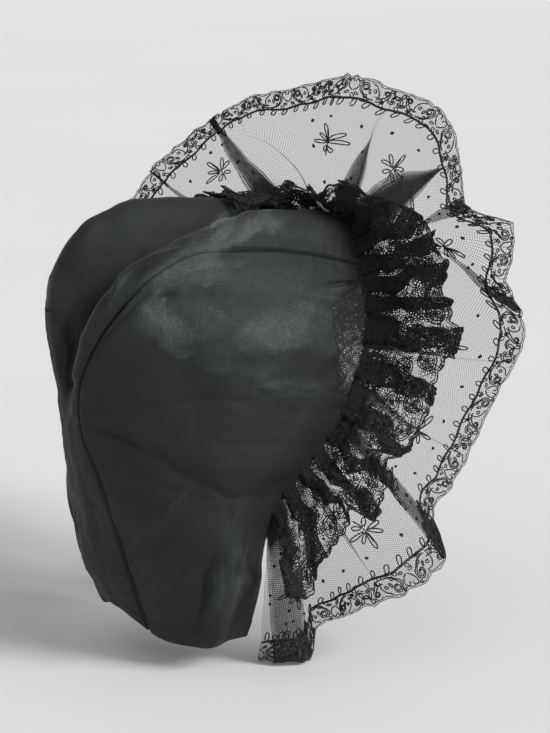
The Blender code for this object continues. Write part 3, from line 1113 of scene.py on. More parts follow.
@dataclass
class SatinHood:
    """The three pieces of satin: the crown strip and the two side panels, sewn with sunk seams."""

    pattern: HoodPattern
    wall: float = 0.0008
    seam_sink: float = 0.0017
    seam_half: float = 0.0014
    pucker: float = 0.00024
    pucker_reach: float = 0.010
    pucker_pitch: float = 0.010
    stitched: float = 0.0028
    hem_depth: float = 0.011
    hem_rise: float = 0.0006
    hem_step: float = 0.0012
    unevenness: float = 0.0006
    fineness: float = 0.00014
    fine_wave: float = 0.015
    seam_clear: float = 0.003
    gather_clear: float = 0.008
    brow_crimp: float = 0.0002
    brow_reach: float = 0.012
    temple_gathers: float = 0.0004
    temple_reach: float = 0.020
    far_pull: float = 0.0053
    far_pull_at: float = 0.018
    far_pull_spread: float = 0.019
    left_share: float = 0.7
    strip_steps: tuple[int, int] = (96, 240)
    panel_steps: tuple[int, int] = (140, 170)
    creases: tuple[Crease, ...] = (
        Crease("temple crease", 325, 286, 347, 282, 1.8, -0.0036),
        Crease("temple crease end", 347, 282, 366, 286, 1.8, -0.0032),
        Crease("temple roll", 328, 292, 360, 290, 5.0, 0.0008),
        Crease("cheek line", 214, 391, 346, 390, 2.0, -0.0013),
        Crease("cheek roll", 262, 387, 344, 384, 3.5, 0.0009),
        Crease("sheen break", 172, 344, 372, 360, 17.0, 0.0042),
        Crease("middle roll", 200, 394, 288, 398, 32.0, 0.0026),
        Crease("upper hollow", 200, 300, 322, 298, 17.0, -0.0018),
        Crease("crown dimple", 163, 298, 172, 289, 3.6, -0.0036),
        Crease("crown dimple roll", 150, 300, 160, 282, 5.0, 0.0013),
        Crease("top drag", 176, 268, 225, 256, 6.0, -0.0010),
        Crease("top roll", 190, 285, 250, 272, 9.0, 0.0012),
        Crease("side drag", 205, 320, 265, 305, 10.0, -0.0014),
        Crease("side roll", 225, 338, 290, 322, 9.0, 0.0013),
        Crease("back drag", 92, 423, 158, 459, 2.8, -0.0022),
        Crease("back drag end", 158, 459, 198, 486, 3.6, -0.0017),
        Crease("back drag roll", 96, 412, 165, 448, 7.0, 0.0012),
        Crease("middle tuck", 192, 404, 195, 444, 3.0, -0.0006),
        Crease("ear crease", 196, 486, 230, 495, 2.2, -0.0019),
        Crease("ear crease turn", 230, 497, 226, 530, 3.0, -0.0017),
        Crease("ear crease end", 231, 494, 270, 499, 2.4, -0.0018),
        Crease("neck ridge", 184, 492, 151, 529, 3.4, 0.0030),
        Crease("neck ridge end", 151, 529, 123, 562, 3.8, 0.0026),
        Crease("neck hollow", 190, 506, 140, 556, 9.0, -0.0018),
        Crease("front pleat", 214, 556, 192, 632, 2.8, -0.0028),
        Crease("front pleat roll", 224, 556, 206, 632, 6.5, 0.0026),
        Crease("nape pleat", 176, 565, 168, 612, 5.0, -0.0012),
        Crease("nape roll", 160, 556, 156, 606, 6.0, 0.0012),
        Crease("corner turn", 246, 545, 249, 582, 2.4, -0.0019),
        Crease("corner turn end", 249, 582, 234, 630, 2.4, -0.0019),
        Crease("jaw fold", 238, 545, 226, 600, 5.0, 0.0013),
        Crease("jaw drag", 262, 500, 300, 468, 5.0, -0.0012),
        Crease("brow pull", 212, 243, 222, 214, 5.0, 0.0014),
        Crease("brow hollow", 228, 243, 236, 214, 5.0, -0.0012),
        Crease("brow second pull", 246, 243, 252, 212, 6.0, 0.0010),
        Crease("brow end hollow", 300, 243, 318, 224, 8.0, -0.0010),
        Crease("crest edge", 268, 209, 200, 241, 5.0, 0.0014),
        Crease("crest edge back", 200, 246, 130, 264, 5.0, 0.0026),
        Crease("crest corner", 130, 264, 112, 294, 4.4, 0.0034),
        Crease("crest sag", 176, 243, 150, 252, 7.0, -0.0016),
        Crease("crest back sag", 108, 284, 92, 322, 7.0, -0.0016),
        Crease("crest corner foot", 113, 292, 84, 360, 3.2, 0.0014),
        Crease("valley drag", 150, 262, 108, 282, 6.0, -0.0020),
        Crease("valley pleat", 76, 300, 72, 372, 4.0, -0.0018),
        Crease("valley pleat roll", 64, 290, 66, 372, 5.0, 0.0012),
        Crease("far crest drag", 120, 214, 200, 222, 9.0, -0.0012),
        Crease("pinch knot", 70, 386, 76, 380, 3.0, -0.0030),
        Crease("pinch roll", 66, 396, 68, 436, 3.4, 0.0013),
        Crease("strip drag", 84, 500, 98, 507, 2.4, -0.0014),
        Crease("jaw pull", 285, 360, 292, 470, 4.0, 0.0009),
        Crease("jaw second pull", 302, 396, 280, 470, 6.0, -0.0006),
        Crease("low drag", 128, 470, 190, 500, 3.0, -0.0010),
        Crease("hem drag", 130, 590, 170, 560, 4.0, -0.0014),
        Crease("strip roll", 78, 470, 94, 560, 6.0, 0.0012),
    )
    # Patches and streaks of painted sheen and highlight on the satin, with their amounts.
    sheen_patches: tuple[SheenPatch, ...] = (
        SheenPatch("cheek", 240, 306, 106, 43, 2, 0.22),
        SheenPatch("cheek back", 174, 312, 38, 32, 24, 0.40),
        SheenPatch("cheek top back", 188, 262, 36, 21, -24, 0.46),
        SheenPatch("cheek front end", 314, 320, 34, 34, 0, 0.38),
        SheenPatch("cheek lower middle", 240, 360, 50, 14, 4, 0.28),
        SheenPatch("cheek front", 284, 334, 56, 15, -2, 0.32),
        SheenPatch("cheek edge", 176, 346, 20, 8, 10, 0.30),
        SheenPatch("cheek top", 200, 270, 44, 12, -8, 0.24),
        SheenPatch("crest front", 246, 226, 36, 15, -10, 0.74),
        SheenPatch("crest streak", 219, 232, 20, 7, -58, 0.90),
        SheenPatch("crest second streak", 240, 228, 15, 4, -68, 0.75),
        SheenPatch("crest third streak", 256, 226, 16, 4, -76, 0.75),
        SheenPatch("crest last streak", 272, 222, 13, 3, -84, 0.35),
        SheenPatch("cheek diagonal", 158, 318, 26, 4, 46, 0.30),
        SheenPatch("cheek second diagonal", 196, 306, 44, 5, 24, 0.22),
        SheenPatch("cheek lower edge", 178, 351, 18, 4, 12, 0.40),
        SheenPatch("cheek front edge", 300, 344, 44, 5, 3, 0.30),
        SheenPatch("cheek front streak", 318, 312, 22, 5, 60, 0.20),
        SheenPatch("crest end", 306, 236, 26, 7, 14, 0.16),
        SheenPatch("crest edge", 122, 282, 10, 34, 24, 0.16),
        SheenPatch("cheek band", 292, 388, 60, 6, 0, 0.20),
        SheenPatch("cheek low front", 318, 418, 26, 20, 0, 0.07),
        SheenPatch("far crest", 64, 316, 20, 46, -6, 0.16),
        SheenPatch("hem front", 226, 588, 14, 38, 8, 0.34),
        SheenPatch("hem middle", 206, 600, 8, 30, 10, 0.10),
        SheenPatch("neck ridge", 152, 522, 30, 5, -42, 0.08),
        SheenPatch("front corner", 246, 604, 6, 26, 6, 0.14),
    )

    def seam_form(self, gap: np.ndarray, run: np.ndarray, seed: int) -> np.ndarray:
        """The height of the cloth beside a seam: sunk at its edge and puckered by the stitches.

        Args:
            gap: How far each point lies from the seam.
            run: How far along the seam it lies.
            seed: Fixes the puckers.

        Returns:
            The heights.
        """
        waves = ripple(run[..., None], self.pucker_pitch, seed)
        free = 1 - gaussian(gap, self.stitched)
        return (-self.seam_sink * gaussian(gap, self.seam_half)
                + self.pucker * waves * free * gaussian(gap, self.pucker_reach))

    def hem_form(self, gap: np.ndarray) -> np.ndarray:
        """The height of the turned-up hem, this far from its edge."""
        return self.hem_rise * (1 - smooth((gap - self.hem_depth) / self.hem_step + 0.5))

    def handled(self, grid: Grid, wave: float, seeds: tuple[int, int]) -> np.ndarray:
        """The soft unevenness of satin that has been handled.

        Args:
            grid: The points.
            wave: The length of its wide waves.
            seeds: Fix the wide and the fine waves.

        Returns:
            The heights.
        """
        wide, fine = ripple(grid, wave, seeds[0]), ripple(grid, self.fine_wave, seeds[1])
        return self.unevenness * wide + self.fineness * fine

    def creasing(self, grid: Grid, seams: np.ndarray, share: float = 1.0) -> np.ndarray:
        """The photograph's creases, which end at the seams.

        Args:
            grid: The points.
            seams: How far each lies from the nearest seam.
            share: How strong the creases are.

        Returns:
            The heights.
        """
        height = share * creased(self.pattern.settle(grid), self.creases)
        return height * (1 - gaussian(seams, self.seam_clear))

    def turned(self, grid: Grid, out: Grid, turnings: Sequence[tuple[int, bool, float]]) -> Grid:
        """The grid with its turned-in edges.

        Args:
            grid: The points.
            out: The outward normals.
            turnings: Each edge's axis, whether it is the last row or column, and its slant.

        Returns:
            The wider grid.
        """
        for axis, last, slant in turnings:
            grid, out = turned_in(grid, out, axis, last, slant), turned_in(out, 0 * out, axis, last)
        return grid

    def strip(self, cloth: bpy.types.Material) -> bpy.types.Object:
        """The crown strip, from the brow over the head to the nape.

        Args:
            cloth: Its material.

        Returns:
            The piece.
        """
        across = 2 * fine_ends(self.strip_steps[0]) - 1
        along = fine_ends(self.strip_steps[1], 0.3)
        a, b = np.meshgrid(across, along)
        grid = self.pattern.crown(b, a)
        out = facing(grid)
        out = out * np.sign(out[len(along) // 4, len(across) // 2, 2])
        seams = np.minimum(edge_gap(grid, 1, False), edge_gap(grid, 1, True))
        height = self.handled(grid, 0.040, (11, 17))
        height += self.creasing(grid, seams)
        for last in (False, True):
            height += self.seam_form(edge_gap(grid, 1, last), lengths(grid[:, 0])[:, None] + 0 * a, 12 + last)
        height += self.hem_form(edge_gap(grid, 0, True))
        crimp = self.brow_crimp * ripple(a[..., None] * 0.08, 0.012, 18)
        free = 1 - gaussian(seams, self.gather_clear)
        height += crimp * gaussian(edge_gap(grid, 0, False), self.brow_reach) * free
        turnings = ((1, False, -0.5), (1, True, -0.5), (0, True, 0.4))
        grid = self.turned(grid + out * height[..., None], out, turnings)
        return self.finished("crown_cloth", grid, cloth, "crown_strip")

    def panel(self, side: Side, cloth: bpy.types.Material) -> bpy.types.Object:
        """A side panel, from the face edge to the back seam.

        Args:
            side: Which one. The left one is also drawn in behind the far crest.
            cloth: Its material.

        Returns:
            The piece.
        """
        a, b = np.meshgrid(fine_ends(self.panel_steps[0]), fine_ends(self.panel_steps[1], 0.6))
        grid = self.pattern.panel(a, b)
        out = facing(grid)
        out = out * np.sign(out[len(a) // 2, len(a[0]) // 2, 0])
        seed, share = (20, 1.0) if side is Side.RIGHT else (40, self.left_share)
        top, back, front = edge_gap(grid, 0, True), edge_gap(grid, 1, True), edge_gap(grid, 1, False)
        height = self.handled(grid, 0.042, (seed, seed + 1))
        height += self.creasing(grid * np.array((Side.RIGHT.value, 1.0, 1.0)), np.minimum(top, back), share)
        height += self.seam_form(top, lengths(grid[-1])[None, :] + 0 * a, seed + 2)
        height += self.seam_form(back, lengths(grid[:, -1])[:, None] + 0 * a, seed + 3)
        gathers = ripple(lengths(grid[:, 0])[:, None, None] + 0 * a[..., None], 0.010, seed + 4)
        reach = gaussian(front, self.temple_reach) * (1 - gaussian(top, self.gather_clear))
        height += self.temple_gathers * gathers * (reach * smooth((b - 0.22) / 0.15))
        if side is Side.LEFT:
            pull = self.far_pull * gaussian(top - self.far_pull_at, self.far_pull_spread)
            height -= pull * smooth((a - 0.40) / 0.3)
        height += self.hem_form(edge_gap(grid, 0, False))
        turnings = ((0, True, -0.6), (1, True, -0.6), (0, False, 0.4), (1, False, 0.4))
        grid = self.turned(grid + out * height[..., None], out, turnings)
        grid[..., 0] *= side.value
        name = side.name.lower()
        return self.finished("side_cloth_" + name, grid, cloth, "side_panel_" + name)

    def finished(self, name: str, grid: Grid, cloth: bpy.types.Material, node: str) -> bpy.types.Object:
        """A satin piece with its wall, in place of its solid.

        Args:
            name: Its name.
            grid: Its outer points.
            cloth: Its material.
            node: The solid.

        Returns:
            The piece.
        """
        grid = self.pattern.settle(grid)
        inside = grid.reshape(-1, 3).mean(0) - np.array((0.0, 0.02, -0.08))
        if np.sum(facing(grid) * (grid - inside)) < 0:
            grid = grid[:, ::-1]
        shown = grid * np.array((-1.0, 1.0, 1.0)) if node.endswith("left") else grid
        # Each point carries its amount of painted sheen for the material.
        piece = grid_object(name, grid, cloth, weights={"sheen_patch": painted_sheen(shown, self.sheen_patches)})
        thicken(piece, self.wall)
        return hand_over(piece, "satin", node)

    def build(self) -> None:
        """All three pieces."""
        cloth = SatinFinish().make()
        pieces = [self.strip(cloth), self.panel(Side.RIGHT, cloth), self.panel(Side.LEFT, cloth)]


@dataclass
class NetWedges:
    """The coarse net beside each temple, between the satin and the gathered lace."""

    pattern: HoodPattern
    foot_up: float = 0.610
    top_up: float = 0.975
    under: float = 0.007
    behind: float = 0.0014
    uneven: float = 0.0005
    open_net: float = 0.08
    drawn_net: float = 0.50
    drawn_from: float = -0.072
    sewn_net: float = 0.66
    steps: tuple[int, int] = (18, 56)

    def build(self) -> None:
        """Both wedges, which are sewn in under the satin and closer where they are drawn up."""
        net = WebFinish("coarse_net", cell=0.00130, wires=0.325, gathered=0.30, patch=0.045,
                        dark=(0.0140, 0.0142, 0.0130), pale=(0.0400, 0.0400, 0.0370)).make()
        up = np.linspace(self.foot_up, self.top_up, self.steps[1] + 1)
        satin = self.pattern.satin_edge(up) + self.under * np.array((self.pattern.wedge_splay, 1.0, 0.0))
        face = self.pattern.face.at(1 - up)
        across = np.linspace(0.0, 1.0, self.steps[0] + 1)
        grid = satin[:, None] + (face - satin)[:, None] * across[None, :, None]
        grid[..., 0] -= self.behind * (1 - smooth(across * 2.5 - 0.2))[None, :]
        grid[..., 0] += self.uneven * ripple(grid, 0.011, 71)
        uv = np.stack([grid[..., 1], grid[..., 2]], -1)
        edge = np.linalg.norm(grid - satin[:, None], axis=-1) - self.under
        drawn_up = self.open_net + self.drawn_net * smooth((grid[..., 2] - self.drawn_from) / 0.040)
        close = np.maximum(drawn_up, self.sewn_net - 0.5 * edge / 0.008)
        for side in Side:
            sided = grid * np.array((side.value, 1.0, 1.0))
            name = side.name.lower()
            piece = grid_object("temple_net_" + name, self.pattern.settle(sided), net, uv, {"gathers": close})
            hand_over(piece, "coarse_net", "edge_net_" + name)


@dataclass
class GatherLine:
    """The line that frill and ruffle are sewn on, from jaw to jaw over the brow."""

    pattern: HoodPattern
    end: Turn = Turn("gather end", 0.0650, 0.004, -0.178)
    turns: int = 8
    temple_height: float = -0.060
    bow: float = 0.004
    wave: float = 0.003
    waves: int = 13
    frill_over: float = 0.005
    frill_under: float = 0.0018
    frill_free: float = 0.07
    ruffle_over: float = 0.006
    ruffle_above: float = 0.0014
    ruffle_free: float = 0.16
    ruffle_foot: float = 0.001
    line: Track = field(init=False)
    stands: Track = field(init=False)
    leans: Track = field(init=False)

    def __post_init__(self) -> None:
        """Lays out the line and the two tables along it."""
        right = [(-row.x, row.y, row.z) for row in FACE_EDGE[: self.turns]][::-1]
        right.insert(0, (-self.end.x, self.end.y, self.end.z))
        places = np.array((-0.75, -0.5, -0.25, 0.0, 0.25, 0.5, 0.75))
        arch = self.pattern.crown(np.zeros(7), places).tolist()
        left = [(-x, y, z) for x, y, z in right[::-1]]
        self.line = Track(right + arch + left)
        self.stands = Track([(s.out, s.forward, s.up, s.reach) for s in FRILL], [s.along for s in FRILL])
        self.leans = Track([(s.back, s.reach) for s in RUFFLE], [s.along for s in RUFFLE])

    def frame(self, along: np.ndarray) -> tuple[np.ndarray, np.ndarray, np.ndarray, np.ndarray]:
        """The line and the cloth's own ways beside it.

        Args:
            along: Places along the line.

        Returns:
            The points, the line's headings, the ways out of the cloth and the ways on past its edge.
        """
        point = self.line.at(along)
        heading = self.line.heading(along)
        low = np.minimum(point[..., 2], self.temple_height)
        outward = point - np.stack([0 * low, point[..., 1], low], -1)
        outward = unit(outward - heading * np.sum(outward * heading, -1, keepdims=True))
        onward = np.cross(heading, outward)
        return point, heading, outward, onward * np.where(onward[..., 1:2] > 0, -1.0, 1.0)

    def stand(self, along: np.ndarray) -> tuple[np.ndarray, np.ndarray, np.ndarray]:
        """How the frill stands.

        Args:
            along: Places along the line.

        Returns:
            The ways that it stands, the ways that its outer side faces and its reach.
        """
        out, forward, up, reach = np.moveaxis(self.stands.at(along), -1, 0)
        way = unit(np.stack([np.where(along < 0.5, -out, out), -forward, up], -1))
        return way, unit(np.cross(way, self.line.heading(along))), reach

    def sewn(self, along: np.ndarray, over: float, above: float) -> np.ndarray:
        """Where lace starts on the satin.

        Args:
            along: Places along the line.
            over: How far back from the satin's edge it starts.
            above: How far outside the satin.

        Returns:
            The points.
        """
        point, _, outward, onward = self.frame(along)
        return point - onward * over + outward * above

    def frill(self, along: np.ndarray, out: np.ndarray) -> tuple[np.ndarray, np.ndarray]:
        """Points of the frill's smooth form and its outer side.

        Args:
            along: Places along the line.
            out: From the gathered edge (0) to the rim (1).

        Returns:
            The points, and the way that faces the back at each.
        """
        point, _, _, _ = self.frame(along)
        way, outer, reach = self.stand(along)
        belly = self.bow * np.sin(math.pi * out) + self.wave * np.sin(TURN * self.waves * along) * out
        stood = point + way * (reach * out)[..., None] + outer * belly[..., None]
        free = smooth(out / self.frill_free)[..., None]
        return self.sewn(along, self.frill_over, -self.frill_under) * (1 - free) + stood * free, outer

    def ruffle(self, along: np.ndarray, out: np.ndarray, lift: float) -> tuple[np.ndarray, np.ndarray]:
        """Points of the ruffle's smooth form and its outer side.

        Args:
            along: Places along the line.
            out: From the gathered edge (0) to the rim (1).
            lift: How far outside the frill it is sewn.

        Returns:
            The points, and the way that faces the back at each.
        """
        point, heading, outward, onward = self.frame(along)
        way, outer, _ = self.stand(along)
        foot = point - onward * self.ruffle_foot + unit(outward + outer) * lift
        back, reach = np.moveaxis(self.leans.at(along), -1, 0)
        back = np.radians(back)[..., None]
        way = way * np.cos(back) + outer * np.sin(back)
        stood = foot + way * (reach * out)[..., None]
        free = smooth(out / self.ruffle_free)[..., None]
        sewn = self.sewn(along, self.ruffle_over, self.ruffle_above)
        return sewn * (1 - free) + stood * free, unit(np.cross(way, heading))


class RimLine:
    """A lace's rim as the photograph shows it, as moves of its smooth form."""

    def __init__(self, marks: Sequence[RimMark], form: LaceForm, pattern: HoodPattern,
                 fades_at: float) -> None:
        """Finds the moves.

        Args:
            marks: Places on the rim.
            form: The smooth form.
            pattern: Settles it.
            fades_at: Where, past the last mark, the rim follows the smooth form again.
        """
        along = np.array([mark.along for mark in marks])
        rim, _ = form(along, np.ones_like(along))
        rim = pattern.settle(rim)
        seen = VIEW.spots(np.array([(mark.px, mark.py) for mark in marks]), rim @ VIEW.axes()[0])
        self.along = np.append(along, fades_at)
        self.moves = np.concatenate([seen - rim, np.zeros((1, 3))])

    def move(self, along: np.ndarray, out: np.ndarray, power: float) -> np.ndarray:
        """The moves at some places, which grow towards the rim.

        Args:
            along: Places along the line.
            out: From the gathered edge (0) to the rim (1).
            power: How late they grow.

        Returns:
            The moves.
        """
        found = np.stack([np.interp(along, self.along, self.moves[:, axis]) for axis in range(3)], -1)
        return found * (out**power)[..., None]


@dataclass
class PleatedLace:
    """A strip of lace laid in pleats on the gather line, and the flat measures of its cloth."""

    form: LaceForm
    pleats: Sequence[Pleat]
    foot_length: float
    rim_length: float
    step: float
    back_cells: int
    rows: int
    layer: float
    bulge: float
    wander: float = 0.0
    least: float = 0.00012
    full: float = 0.0022
    measured_at: float = 0.9
    middle_at: float = 0.62
    grid: Grid = field(init=False)
    dense: np.ndarray = field(init=False)
    flat: np.ndarray = field(init=False)
    middle: np.ndarray = field(init=False)
    run: np.ndarray = field(init=False)
    tall: float = field(init=False)

    def share(self, pleat: Pleat, out: np.ndarray) -> np.ndarray:
        """How far each height lies from a pleat's start to its end."""
        return np.clip((out - pleat.opens) / (pleat.closes - pleat.opens), 0.0, 1.0)

    def depth(self, pleat: Pleat, out: np.ndarray) -> np.ndarray:
        """A pleat's half depth at each height, in metres."""
        return np.maximum(pleat.foot + (pleat.rim - pleat.foot) * smooth(self.share(pleat, out)), self.least)

    def __post_init__(self) -> None:
        """Lays the strip forward, back at each pleat and forward again."""
        out = np.linspace(0.0, 1.0, self.rows + 1)
        long = self.foot_length + (self.rim_length - self.foot_length) * out
        along, lift, dense = [], [], []
        start, height = np.zeros_like(out), np.zeros_like(out)
        for pleat in self.pleats:
            depth = self.depth(pleat, out)
            centre = pleat.foot_at + (pleat.rim_at - pleat.foot_at) * self.share(pleat, out)
            turns = ripple(np.stack([out, 0 * out + pleat.foot_at * 9], -1), 0.75, 31, 5)
            centre = centre + self.wander * turns * np.sin(math.pi * out)
            stop, turned = centre + depth / long, centre - depth / long
            self.run_forward(along, lift, dense, start, stop, height, out)
            opened = smooth(depth / self.full)
            for part in np.arange(self.back_cells) / self.back_cells:
                along.append(stop + (turned - stop) * part)
                lift.append(2 * part * self.layer * opened)
                # The back lap is closed up by the pleat's dense share: folded net and painted shade.
                dense.append(pleat.dense * opened * min(1.0, 4 * part + 0.2))
            start, height = turned, 2 * self.layer * opened
        self.run_forward(along, lift, dense, start, np.ones_like(out), height, out)
        along.append(np.ones_like(out))
        lift.append(0 * out)
        dense.append(0 * out)
        along, lift, self.dense = np.array(along).T, np.array(lift).T, np.array(dense).T
        high = np.repeat(out[:, None], along.shape[1], axis=1)
        points, outer = self.form(np.clip(along, 0, 1), high)
        self.grid = points + outer * lift[..., None]
        measured = round(self.measured_at * self.rows)
        self.flat = lengths(self.grid[measured])
        self.middle = lengths(self.grid[round(self.middle_at * self.rows)])
        self.run = along[measured]
        self.tall = float(np.mean(np.linalg.norm(self.grid[-1] - self.grid[0], axis=-1)))

    def run_forward(self, along: list[np.ndarray], lift: list[np.ndarray], dense: list[np.ndarray],
                    start: np.ndarray, stop: np.ndarray, height: np.ndarray, out: np.ndarray) -> None:
        """Lays the columns of a face of the strip, from one fold to the next.

        Args:
            along: The columns' places, added to.
            lift: Their heights off the smooth form, added to.
            dense: How dark each is, added to.
            start: Where the face starts, at each height.
            stop: Where it stops.
            height: How high it starts.
            out: The heights' parts of the lace.
        """
        cells = max(2, round(float(np.mean(stop - start)) / self.step))
        for part in np.arange(cells) / cells:
            along.append(start + (stop - start) * part)
            lift.append(height * (1 - smooth(part * 1.6)) + self.bulge * math.sin(math.pi * part) * out)
            dense.append(0 * out)

    def uv(self) -> Grid:
        """The cloth's flat measures at each point of the grid: along and up from the gathers, in metres."""
        return np.stack(np.meshgrid(self.middle, np.linspace(0, self.tall, self.rows + 1)), -1)

    def place(self, run: np.ndarray, inward: np.ndarray) -> tuple[np.ndarray, np.ndarray]:
        """Points and normals of the cloth.

        Args:
            run: How far along the strip, in metres.
            inward: How far in from its rim, in metres.

        Returns:
            The points and the normals there.
        """
        column = np.interp(run, self.flat, np.arange(len(self.flat)))
        row = np.clip(1 - inward / self.tall, 0, 1) * self.rows
        c = np.minimum(column.astype(int), len(self.flat) - 2)
        r = np.minimum(row.astype(int), self.rows - 1)
        tc, tr = (column - c)[..., None], (row - r)[..., None]
        corners = [self.grid[r, c], self.grid[r, c + 1], self.grid[r + 1, c], self.grid[r + 1, c + 1]]
        low = corners[0] * (1 - tc) + corners[1] * tc
        high = corners[2] * (1 - tc) + corners[3] * tc
        normal = unit(np.cross(corners[1] - corners[0] + 1e-9, corners[2] - corners[0] + 1e-9))
        return low * (1 - tr) + high * tr, normal

    def squeeze(self, run: float, inward: float, reach: float = 0.004, least: float = 0.45) -> float:
        """How much shorter the strip lies at a place than it measures at the rim.

        Args:
            run: How far along the strip, in metres.
            inward: How far in from its rim, in metres.
            reach: How far to each side it is measured.
            least: The smallest answer.

        Returns:
            The share that is left.
        """
        ends, _ = self.place(np.array([run - reach, run + reach]), np.array([inward, inward]))
        return max(least, float(np.linalg.norm(ends[1] - ends[0])) / (2 * reach))

    def high(self) -> Grid:
        """How high each point of the grid lies, from the gathered edge (0) to the rim (1)."""
        return np.repeat(np.linspace(0, 1, self.rows + 1)[:, None], self.grid.shape[1], axis=1)


@dataclass
class Stroke:
    """A stroke of thread on the flat cloth: points along and inward in metres, and its half thickness."""

    points: Line
    half: float | np.ndarray

    def moved(self, run: float, inward: float, flip: bool = False, squeeze: float = 1.0) -> "Stroke":
        """The stroke at another place.

        Args:
            run: How far along it moves.
            inward: How far inward.
            flip: Whether it is turned over.
            squeeze: How much shorter the cloth lies there, which the stroke is stretched for.

        Returns:
            The new stroke.
        """
        points = self.points.copy()
        points[:, 0] = points[:, 0] * (-1 if flip else 1) / squeeze + run
        points[:, 1] = points[:, 1] + inward
        return Stroke(points, self.half)


def through(*spots: tuple[float, float], step: float = 0.8 * MM) -> Line:
    """A smooth line through a few spots.

    Args:
        spots: Places along and inward, in millimetres.
        step: The distance between its points, in metres.

    Returns:
        The line, in metres.
    """
    track = Track([(x * MM, t * MM) for x, t in spots], measured=2)
    return track.at(np.linspace(0, 1, max(3, round(track.length / step))))


def curl(start: tuple[float, float], centre: tuple[float, float], radius: float, turns: float,
         hand: int) -> Line:
    """A stem that runs up into a closing curl, in millimetres.

    Args:
        start: Where the stem begins.
        centre: The middle of the curl.
        radius: The curl's outer radius.
        turns: How many times it goes round.
        hand: 1 or -1, the way that it turns.

    Returns:
        The line, in metres.
    """
    begin = math.atan2(start[1] - centre[1], start[0] - centre[0]) + hand * 1.1
    angles = begin + hand * np.linspace(0, TURN * turns, round(TURN * radius * turns * 0.75))
    radii = radius * (1 - 0.78 * np.linspace(0, 1, len(angles)) ** 0.8)
    ring = np.stack([centre[0] + radii * np.cos(angles), centre[1] + radii * np.sin(angles)], -1)
    stem = np.array(start) + (ring[0] - np.array(start)) * np.linspace(0, 1, 7)[:-1, None]
    bend = np.array((-(ring[0] - start)[1], (ring[0] - start)[0])) * -0.16 * hand
    stem = stem + np.sin(math.pi * np.linspace(0, 1, 7)[:-1, None]) * bend
    return np.concatenate([stem, ring]) * MM


def petal(foot: tuple[float, float], degrees: float, length: float, width: float) -> Line:
    """A looped petal, out on one side and back on the other.

    Args:
        foot: Its foot, in millimetres.
        degrees: The way that it points.
        length: Its length, in millimetres.
        width: Its width, in millimetres.

    Returns:
        The line, in metres.
    """
    t = np.linspace(0, TURN, max(8, round(length * 2.4)))
    run = length * (1 - np.cos(t)) / 2
    side = width / 2 * np.sin(t) * (0.55 + 0.45 * run / length)
    angle = math.radians(degrees)
    x = foot[0] + run * math.cos(angle) - side * math.sin(angle)
    y = foot[1] + run * math.sin(angle) + side * math.cos(angle)
    return np.stack([x, y], -1) * MM


def ring(centre: tuple[float, float], radius: float) -> Line:
    """A ring, given in millimetres."""
    angles = np.linspace(0, TURN, max(7, round(radius * 8)))
    return np.stack([centre[0] + radius * np.cos(angles), centre[1] + radius * np.sin(angles)], -1) * MM


def thread_object(name: str, cloth: PleatedLace, strokes: Sequence[Stroke], finish: bpy.types.Material,
                  pattern: HoodPattern, sides: int = 3) -> bpy.types.Object:
    """Threads laid on pleated cloth, as thin tubes.

    Args:
        name: The piece's name.
        cloth: What they lie on.
        strokes: Their lines on the flat cloth.
        finish: Their material.
        pattern: Settles them.
        sides: How many sides a tube has.

    Returns:
        The piece.
    """
    spots, faces, base = [], [], 0
    angles = TURN * np.arange(sides) / sides + math.pi / 2
    for stroke in strokes:
        inside = (stroke.points[:, 0] > 0) & (stroke.points[:, 0] < cloth.flat[-1])
        points = stroke.points[inside]
        if len(points) < 3:
            continue
        half = np.broadcast_to(stroke.half, len(stroke.points))[inside]
        line, normal = cloth.place(points[:, 0], points[:, 1])
        heading = unit(np.gradient(line, axis=0))
        side = unit(np.cross(heading, normal))
        across = np.cos(angles)[None, :, None] * side[:, None]
        rim = across + np.sin(angles)[None, :, None] * normal[:, None]
        spots.append((line[:, None] + rim * half[:, None, None]).reshape(-1, 3))
        index = base + np.arange(len(line) * sides).reshape(len(line), sides)
        faces.append(quads(np.concatenate([index, index[:, :1]], axis=1)))
        base += len(line) * sides
    return mesh_object(name, pattern.settle(np.concatenate(spots)), np.concatenate(faces), finish)


